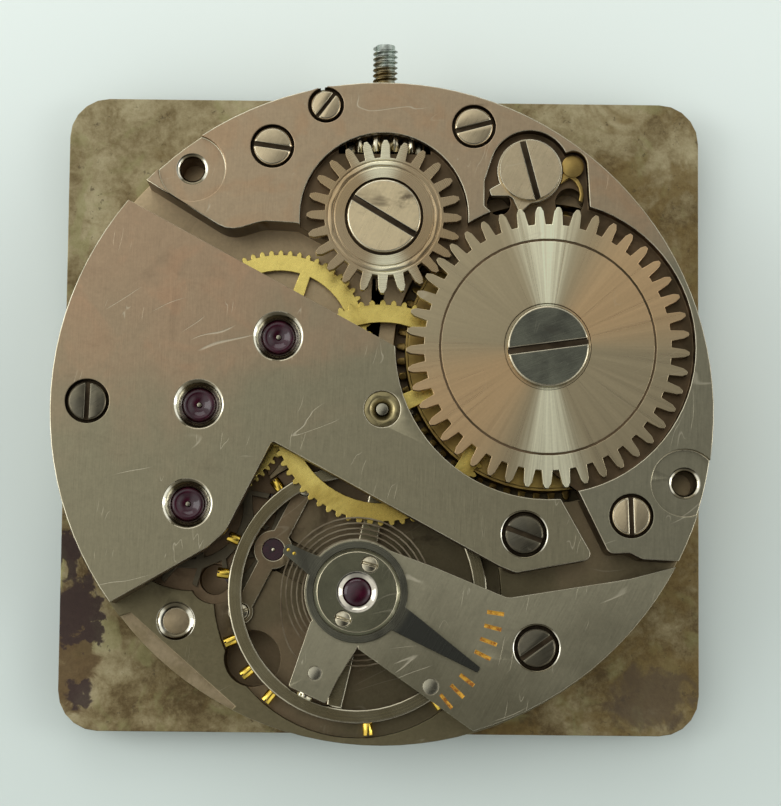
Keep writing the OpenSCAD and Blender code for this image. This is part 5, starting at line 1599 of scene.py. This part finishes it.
@dataclass
class WindingWork(Assembly):
    """Ratchet and crown wheel, click, pinions and stem.

    Attributes:
        stem_level: Height of the stem's axis.
        thread_from: Where the thread starts along the stem.
        thread_to: Where it ends.
        thread_radius: Radius over the thread's crests.
        thread_depth: Depth of the thread.
        thread_pitch: Distance from one crest to the next.
        thread_steps: Facets to a turn.
        groove: Inner and outer radius of the groove in the ratchet wheel.
        ring: Inner and outer radius of the ring that shows round its screw.
        wheel_low: Level over which both lie.
        wheel_top: Level of that wheel's upper face.
        core_low: Level over which the crown wheel's core gets painted shade.
        heads: Place, radius and top of the large screws' heads.
    """

    stem_level: float = 2.2
    thread_from: float = 11.95
    thread_to: float = 13.5
    thread_radius: float = 0.45
    thread_depth: float = 0.1
    thread_pitch: float = 0.2
    thread_steps: int = 28
    groove: Point = (3.75, 3.89)
    ring: Point = (1.2, 1.6)
    wheel_low: float = 4.0
    wheel_top: float = 4.1
    core_low: float = 3.95
    heads: Sequence[tuple[Point, float, float]] = (
        (Places.BARREL, 1.45, 4.32),
        (Places.CROWN, 1.31, 4.26),
        (Places.CLICK, 1.09, 4.27),
    )

    def soil_heads(self, piece: Piece) -> None:
        """Paints shade into the slots of the large screws."""
        self.soil_slots(piece, self.heads)

    def soil_grooves(self, piece: Piece) -> None:
        """Paints shade into the turned groove in the ratchet wheel's face and onto the ring round
        its screw.
        """
        for (inner, outer), finish in (self.groove, Palette.floor), (self.ring, Palette.recess):
            Bench.choose(
                piece,
                finish,
                lambda at, normal, inner=inner, outer=outer: (
                    inner < gap(at, Places.BARREL) < outer
                    and self.wheel_low < at.z < self.wheel_top - 0.015
                ),
            )

    def soil_core(self, piece: Piece) -> None:
        """Paints shade on the top of the crown wheel's core, which shows round its screw."""
        Bench.choose(piece, Palette.recess, lambda at, normal: at.z > self.core_low)

    def cut_thread(self) -> None:
        """Replaces the stem by one whose end has a real thread."""
        name = "winding_stem_threaded"
        stem = Bench.copy("winding_stem", name)
        core = self.thread_radius - self.thread_depth
        Bench.pick(
            stem,
            lambda at: (
                at.y > self.thread_from - 0.03
                and math.hypot(at.x, at.z - self.stem_level) < self.thread_radius + 0.02
            ),
        )
        factor = core / self.thread_radius
        bpy.ops.transform.resize(
            value=(factor, 1, factor), center_override=(0, 0, self.stem_level * MM)
        )
        bpy.ops.object.mode_set(mode="OBJECT")
        Bench.ease(stem, 0.03)
        stem = Bench.merge(name, [stem, self.thread_ridge(core)])
        Bench.coat(stem, Palette.stem_steel)
        Bench.smooth(stem, 30)
        self.hold(stem, "winding_stem")

    def thread_ridge(self, core: float) -> Piece:
        """The ridge of the thread, wound round the stem's core.

        Args:
            core: Radius of the core in millimetres.

        Returns:
            The ridge as a closed piece.
        """
        Bench.release()
        bpy.ops.mesh.primitive_circle_add(vertices=4, radius=MM, fill_type="NOTHING")
        ridge = bpy.context.object
        half = self.thread_pitch / 2
        start = self.thread_from + half * 0.4
        root, crest = core - 0.04, self.thread_radius
        section = (
            (root, start), (crest, start + half * 0.85), (crest, start + half * 1.05),
            (root, start + half * 1.9),
        )
        for vertex, (radius, along) in zip(ridge.data.vertices, section):
            vertex.co = (radius * MM, along * MM, 0)
        turns = (self.thread_to - start) / self.thread_pitch - 1
        steps = round(self.thread_steps * turns)
        Bench.modify(
            ridge, "SCREW", axis="Y", steps=steps, render_steps=steps, angle=math.tau * turns,
            screw_offset=self.thread_pitch * turns * MM,
        )
        Bench.open_whole()
        bpy.ops.transform.translate(value=(0, 0, self.stem_level * MM))
        bpy.ops.mesh.fill_holes(sides=4)
        Bench.close_solid()
        return ridge

    def build(self) -> None:
        """Refits the winding work and cuts the stem's thread."""
        self.refit("ratchet_wheel", Palette.ratchet, 0.018, dress=self.soil_grooves, angle=30)
        self.refit(
            "ratchet_screw", Palette.tempered, 0.04, Palette.bevel, self.soil_heads, angle=25
        )
        self.refit("crown_wheel", Palette.crown_wheel, 0.018, angle=30)
        self.refit("crown_wheel_core", Palette.steel, 0.03, dress=self.soil_core)
        self.refit(
            "crown_wheel_screw", Palette.crown_screw, 0.03, Palette.bevel, self.soil_heads,
            angle=25,
        )
        self.refit("click", Palette.screw, 0.03, Palette.bevel)
        self.refit("click_screw", Palette.screw, 0.03, Palette.bevel, self.soil_heads)
        self.refit("click_spring", Palette.drum, 0.03)
        self.refit("winding_pinion", Palette.bright_steel, 0.02)
        self.refit("sliding_pinion", Palette.steel, 0.02)
        self.cut_thread()


@dataclass
class GoingTrain(Assembly):
    """Barrel, train wheels, escapement and the train's jewels.

    Attributes:
        upper_level: Level of the upper jewels' lower faces.
        lower_jewels: Place, radius, hole, lower and upper level of each other jewel.
        radius: Radius of the upper jewels.
        hole: Radius of their holes.
        thick: Their thickness.
    """

    upper_level: float = 3.58
    lower_jewels: Sequence[tuple[Point, float, float, float, float]] = (
        (Places.JEWELS[0], 0.38, 0.1, 1.6, 1.9),
        (Places.JEWELS[1], 0.45, 0.13, 1.55, 1.85),
        (Places.JEWELS[2], 0.45, 0.1, 1.08, 1.38),
        (Places.PALLETS, 0.4, 0.08, 1.08, 1.38),
        (Places.PALLETS, 0.4, 0.08, 1.85, 2.1),
    )
    radius: float = 0.6
    hole: float = 0.1
    thick: float = 0.3

    def set_jewels(self) -> None:
        """Turns the hole jewels, the upper ones with a rounded rim and an oil cup."""
        made = []
        for number, place in enumerate(Places.JEWELS):
            low, high = self.upper_level, self.upper_level + self.thick
            r, h = self.radius, self.hole
            profile = [
                (h, low), (r, low), (r, high - 0.1), (r - 0.02, high - 0.045),
                (r - 0.07, high - 0.008), (r - 0.14, high), (r - 0.2, high - 0.012),
                (r * 0.52, high - 0.06), (r * 0.34, high - 0.1), (r * 0.22, high - 0.115),
                (h, high - 0.12), (h, low),
            ]
            made.append(Bench.lathe(f"upper_jewel_{number}", profile, place, 64, closed=True))
        for number, (place, r, h, low, high) in enumerate(self.lower_jewels):
            profile = [(h, low), (r, low), (r, high - 0.03), (r - 0.03, high), (h, high), (h, low)]
            made.append(Bench.lathe(f"lower_jewel_{number}", profile, place, 40, closed=True))
        self.polish_jewels("hole_jewels", made, "train_jewels")

    def build(self) -> None:
        """Refits barrel, wheels and escapement and sets the jewels."""
        self.refit("barrel_drum", Palette.drum, 0.02)
        self.refit("barrel_cover", Palette.drum, 0.03)
        self.refit("barrel_arbor", Palette.steel, 0.03)
        self.refit("mainspring", Palette.spring, 0.0)
        for wheel in ("centre_wheel", "third_wheel", "fourth_wheel"):
            self.refit(wheel, Palette.brass, 0.018, angle=30)
        for arbor in ("centre_arbor", "third_arbor", "fourth_arbor", "escape_arbor"):
            self.refit(arbor, Palette.steel, 0.012)
        self.refit("escape_wheel", Palette.dull_steel, 0.018, angle=30)
        self.refit("pallet_fork", Palette.dull_steel, 0.02)
        self.refit("pallet_stones", Palette.ruby, 0.01)
        self.refit("pallet_arbor", Palette.bright_steel, 0.01)
        self.set_jewels()


@dataclass
class BalanceWork(Assembly):
    """Balance, hairspring, regulator and end piece.

    Attributes:
        centre: Axis of the balance.
        spring_level: Lower edge of the hairspring.
        spring_height: Height of its strip.
        strip: Thickness of its strip.
        turns: Turns up to the curb pins.
        inner: Radius of its first turn.
        outer: Radius at the curb pins.
        curb: Direction of the curb pins and its reach on both sides.
        stud: Direction and distance of the stud.
        cap: Radius of the upper jewels.
        cap_top: Level of the upper cap's edge.
        lower: Radius of the lower jewels.
        pivot_hole: Radius of the holes in the hole jewels.
        cup_reach: Reach of the cup round the upper cap.
    """

    centre: Point = Places.BALANCE
    spring_level: float = 2.98
    spring_height: float = 0.16
    strip: float = 0.05
    turns: float = 11.55
    inner: float = 0.485
    outer: float = 2.7
    curb: tuple[float, float, float] = (149, -14, 29)
    stud: Point = (238.2, 3.18)
    cap: float = 0.51
    cap_top: float = 4.38
    lower: float = 0.5
    pivot_hole: float = 0.08
    cup_reach: float = 0.8

    def spring_line(self) -> list[Vector]:
        """Centre line of the hairspring, from its collet to its stud, in millimetres."""
        start = self.curb[0] + self.curb[1]
        count = round(self.turns * 40)
        line = [
            (start - 360 * self.turns * (1 - k / count),
             self.inner + (self.outer - self.inner) * k / count)
            for k in range(count + 1)
        ]
        curb_end = self.curb[0] + self.curb[2]
        line += [(start + (curb_end - start) * k / 6, self.outer) for k in range(1, 7)]
        swing = self.stud[0] - curb_end
        line += [
            (curb_end + swing * k / 12,
             self.outer + (self.stud[1] - self.outer) * (1 - math.cos(math.pi * k / 12)) / 2)
            for k in range(1, 13)
        ]
        return [toward(angle, radius) + Vector(self.centre) for angle, radius in line]

    def wind_spring(self) -> None:
        """Draws the hairspring's line, gives it height and thickness and holds it in place."""
        Bench.release()
        line = self.spring_line()
        middle = self.spring_level + self.spring_height / 2
        bpy.ops.mesh.primitive_plane_add(size=self.spring_height * MM)
        spring = bpy.context.object
        spring.name = spring.data.name = "hairspring_wound"
        Bench.pick(spring, lambda at: at.x > 0)
        bpy.ops.mesh.delete(type="VERT")
        bpy.ops.mesh.select_all(action="SELECT")
        bpy.ops.transform.rotate(value=math.pi / 2, orient_axis="X", center_override=(0, 0, 0))
        here = Vector((-self.spring_height / 2, 0, 0))
        place = Vector((line[0].x, line[0].y, middle))
        bpy.ops.transform.translate(value=(place - here) * MM)
        for last, at in zip(line, line[1:]):
            bpy.ops.mesh.extrude_region_move(
                TRANSFORM_OT_translate={"value": ((at - last) * MM).to_3d()}
            )
        bpy.ops.object.mode_set(mode="OBJECT")
        Bench.modify(spring, "SOLIDIFY", thickness=self.strip * MM, offset=0)
        bpy.ops.object.mode_set(mode="EDIT")
        Bench.close_solid()
        Bench.coat(spring, Palette.spring)
        Bench.smooth(spring, 30)
        self.hold(spring, "hairspring")

    def hole_jewel(self, name: str, radius: float, low: float, high: float) -> Piece:
        """Turns a flat jewel with the hole for the balance's pivot.

        Args:
            name: Name of the jewel.
            radius: Its radius.
            low: Level of its lower face.
            high: Level of its upper face.

        Returns:
            The jewel.
        """
        hole = self.pivot_hole
        profile = [(hole, low), (radius, low), (radius, high), (hole, high), (hole, low)]
        return Bench.lathe(name, profile, self.centre, 40, closed=True)

    def set_jewels(self) -> None:
        """Turns the cap and hole jewels of the balance, the upper cap domed."""
        cap, top, low = self.cap, self.cap_top, self.lower
        domed = [
            (cap, 3.96), (cap, top - 0.12), (cap * 0.97, top - 0.06), (cap * 0.86, top - 0.015),
            (cap * 0.66, top + 0.02), (cap * 0.4, top + 0.045), (cap * 0.1, top + 0.052),
        ]
        made = [
            Bench.lathe("upper_cap", domed, self.centre, 56),
            self.hole_jewel("upper_hole", cap, 3.64, 3.94),
            Bench.lathe(
                "lower_cap", [(low, 0.68), (low, 0.95), (low - 0.03, 0.98)], self.centre, 40
            ),
            self.hole_jewel("lower_hole", low, 1.0, 1.3),
        ]
        self.polish_jewels("balance_jewels_polished", made, "balance_jewels")

    def polish_cup(self, piece: Piece) -> None:
        """Gives the cup round the cap jewel its polish."""
        Bench.choose(
            piece,
            Palette.cup,
            lambda at, normal: gap(at, self.centre) < self.cup_reach and 0.1 < normal.z < 0.97,
        )

    def build(self) -> None:
        """Refits the balance and winds its spring."""
        self.refit("balance_wheel", Palette.rim, 0.06, Palette.bright_steel)
        self.refit("balance_screws", Palette.gilt_screw, 0.008)
        self.refit("balance_staff", Palette.steel, 0.01)
        self.refit("roller_table", Palette.steel, 0.02)
        self.refit("roller_jewel", Palette.ruby, 0.01)
        self.refit("collet", Palette.brass, 0.01)
        self.refit("stud", Palette.steel, 0.03)
        self.refit("regulator", Palette.regulator, 0.02)
        self.refit("curb_pins", Palette.gilt_screw, 0.012)
        self.refit("end_piece", Palette.end_piece, 0.012, Palette.bevel, self.polish_cup)
        self.refit("lower_end_plate", Palette.steel, 0.03)
        self.wind_spring()
        self.set_jewels()


@dataclass
class SettingWork(Assembly):
    """Keyless work and motion work under the plate.

    Attributes:
        tip_end: Place along Y up to which the yoke spring's tip reaches.
        tip_lift: How far the tip is drawn back.
    """

    tip_end: float = 8.56
    tip_lift: float = 0.08

    def draw_back_tip(self, piece: Piece) -> None:
        """Draws the yoke spring's tip back from where the yoke's tail swings.

        Args:
            piece: The yoke spring.
        """
        found = Bench.pick(piece, lambda at: at.y < self.tip_end)
        LOG.info("%s: %d corners drawn back", piece.name, found)
        bpy.ops.transform.translate(value=(0, self.tip_lift * MM, 0))
        bpy.ops.object.mode_set(mode="OBJECT")

    def build(self) -> None:
        """Refits the levers, springs and wheels on the dial side."""
        for lever in ("setting_lever", "yoke", "setting_lever_spring"):
            self.refit(lever, Palette.steel, 0.03)
        self.refit("yoke_spring", Palette.steel, 0.03, before=self.draw_back_tip)
        self.refit("setting_wheel", Palette.steel, 0.02)
        self.refit("cannon_pinion", Palette.steel, 0.02)
        for wheel in ("minute_wheel", "hour_wheel"):
            self.refit(wheel, Palette.brass, 0.02)


@dataclass
class Studio:
    """Floor, soft light and the camera at the photograph's angle.

    Attributes:
        floor_level: Height of the floor, at the part's lowest point.
        floor_size: Side of the floor.
        camera_place: Place of the camera.
        camera_turn: Small turns of the camera about X, Y and Z, in radians.
        lens: Focal length on a 36 mm sensor.
        overhead: Brightness of the room straight above.
        slope: How fast it grows there towards the upper left.
        sides: Brightness of the room's front and back, and of its left and right.
        panels: Name, place, width, height and brightness of each soft light.
    """

    floor_level: float = -1.0
    floor_size: float = 600.0
    camera_place: tuple[float, float, float] = (-0.3996, -8.5174, 95.0023)
    camera_turn: tuple[float, float, float] = (0.0959, -0.0076, 0.0107)
    lens: float = 115.55
    overhead: float = 0.41
    slope: float = 2.7
    sides: Point = (0.42, 1.15)
    panels: Sequence[tuple[str, tuple[float, float, float], float, float, float]] = (
        ("light_left", (-95, 12, 62), 60, 90, 2.4),
        ("light_right", (100, -5, 48), 36, 90, 2.8),
        ("light_top", (-20, 105, 75), 100, 50, 1.8),
    )

    def lay_floor(self) -> None:
        """A pale floor with painted shade, a little darker towards the viewer."""
        Bench.release()
        bpy.ops.mesh.primitive_plane_add(size=self.floor_size * MM)
        floor = bpy.context.object
        floor.name = "floor"
        Bench.open_whole()
        bpy.ops.mesh.subdivide(number_cuts=4)
        bpy.ops.transform.translate(value=(0, 0, self.floor_level * MM))
        bpy.ops.object.mode_set(mode="OBJECT")
        material = bpy.data.materials.new("pale_floor")
        material.use_nodes = True
        sheet = Sheet(material.node_tree)
        shader = material.node_tree.nodes["Principled BSDF"]
        _, y, _ = sheet.split(sheet.place())
        # Painted shade: the floor is darker towards the viewer.
        colour = sheet.blend(y.rise(-16, 16), paint(202, 212, 207), paint(221, 230, 225))
        material.node_tree.links.new(colour.socket, shader.inputs["Base Color"])
        shader.inputs["Roughness"].default_value = 0.6
        shader.inputs["Specular IOR Level"].default_value = 0.2
        floor.data.materials.append(material)

    def light_room(self) -> None:
        """A room that is dim straight above, as behind a camera, and light at its sides."""
        world = bpy.data.worlds.new("studio_room")
        bpy.context.scene.world = world
        world.use_nodes = True
        sheet = Sheet(world.node_tree)
        back = world.node_tree.nodes["Background"]
        x, y, z = sheet.split(sheet.node("ShaderNodeTexCoord", output="Generated"))
        above = z.rise(0.72, 0.95)
        overhead = sheet.node(
            "ShaderNodeClamp",
            None,
            {"Value": (y * 0.55 - x * 0.83) * self.slope + self.overhead, "Min": 0.03, "Max": 1.3},
        )
        aside = abs(x) / ((x * x + y * y) ** 0.5 + 0.001)
        round_about = aside.rise(0.25, 0.85) * (self.sides[1] - self.sides[0]) + self.sides[0]
        strength = above * (overhead - round_about) + round_about
        back.inputs["Color"].default_value = paint(252, 254, 252)
        world.node_tree.links.new(strength.socket, back.inputs["Strength"])

    def hang_panels(self) -> None:
        """Soft rectangular lights that look at the movement."""
        for name, place, width, height, brightness in self.panels:
            Bench.release()
            bpy.ops.object.light_add(type="AREA", location=[c * MM for c in place])
            lamp = bpy.context.object
            lamp.name = name
            lamp.data.shape = "RECTANGLE"
            lamp.data.size = width * MM
            lamp.data.size_y = height * MM
            lamp.data.energy = brightness * math.pi * width * height * MM * MM
            lamp.rotation_euler = (-Vector(place)).to_track_quat("-Z", "Y").to_euler()

    def set_camera(self) -> None:
        """The camera, almost straight above, where the photograph was taken."""
        Bench.release()
        bpy.ops.object.camera_add()
        camera = bpy.context.object
        camera.name = "camera"
        turn = Matrix.Identity(3)
        for angle, axis in zip(self.camera_turn, "XYZ"):
            turn = turn @ Matrix.Rotation(angle, 3, axis)
        camera.matrix_world = Matrix.Translation(Vector(self.camera_place) * MM) @ turn.to_4x4()
        camera.data.lens = self.lens
        camera.data.sensor_width = 36
        camera.data.clip_start = 0.001
        camera.data.clip_end = 10
        bpy.context.scene.camera = camera

    def build(self) -> None:
        """Lights the studio."""
        self.set_camera()
        self.lay_floor()
        self.light_room()
        self.hang_panels()
        bpy.context.scene.view_settings.view_transform = "Standard"


def main() -> None:
    """Builds the movement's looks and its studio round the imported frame."""
    logging.basicConfig(level=logging.INFO, format="%(message)s")
    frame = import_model()
    record = frame["record"]
    bodies = {n: body for body, nodes in record["behaviour"]["bodies"].items() for n in nodes}
    slots = {part["node"]: part["material_slot"] for part in record["subparts"]}
    for assembly in (Foundation, Fasteners, WindingWork, GoingTrain, BalanceWork, SettingWork):
        assembly(bodies, slots).build()
        LOG.info("%s done", assembly.__name__)
    Studio().build()
    Bench.release()


if __name__ == "__main__":
    main()
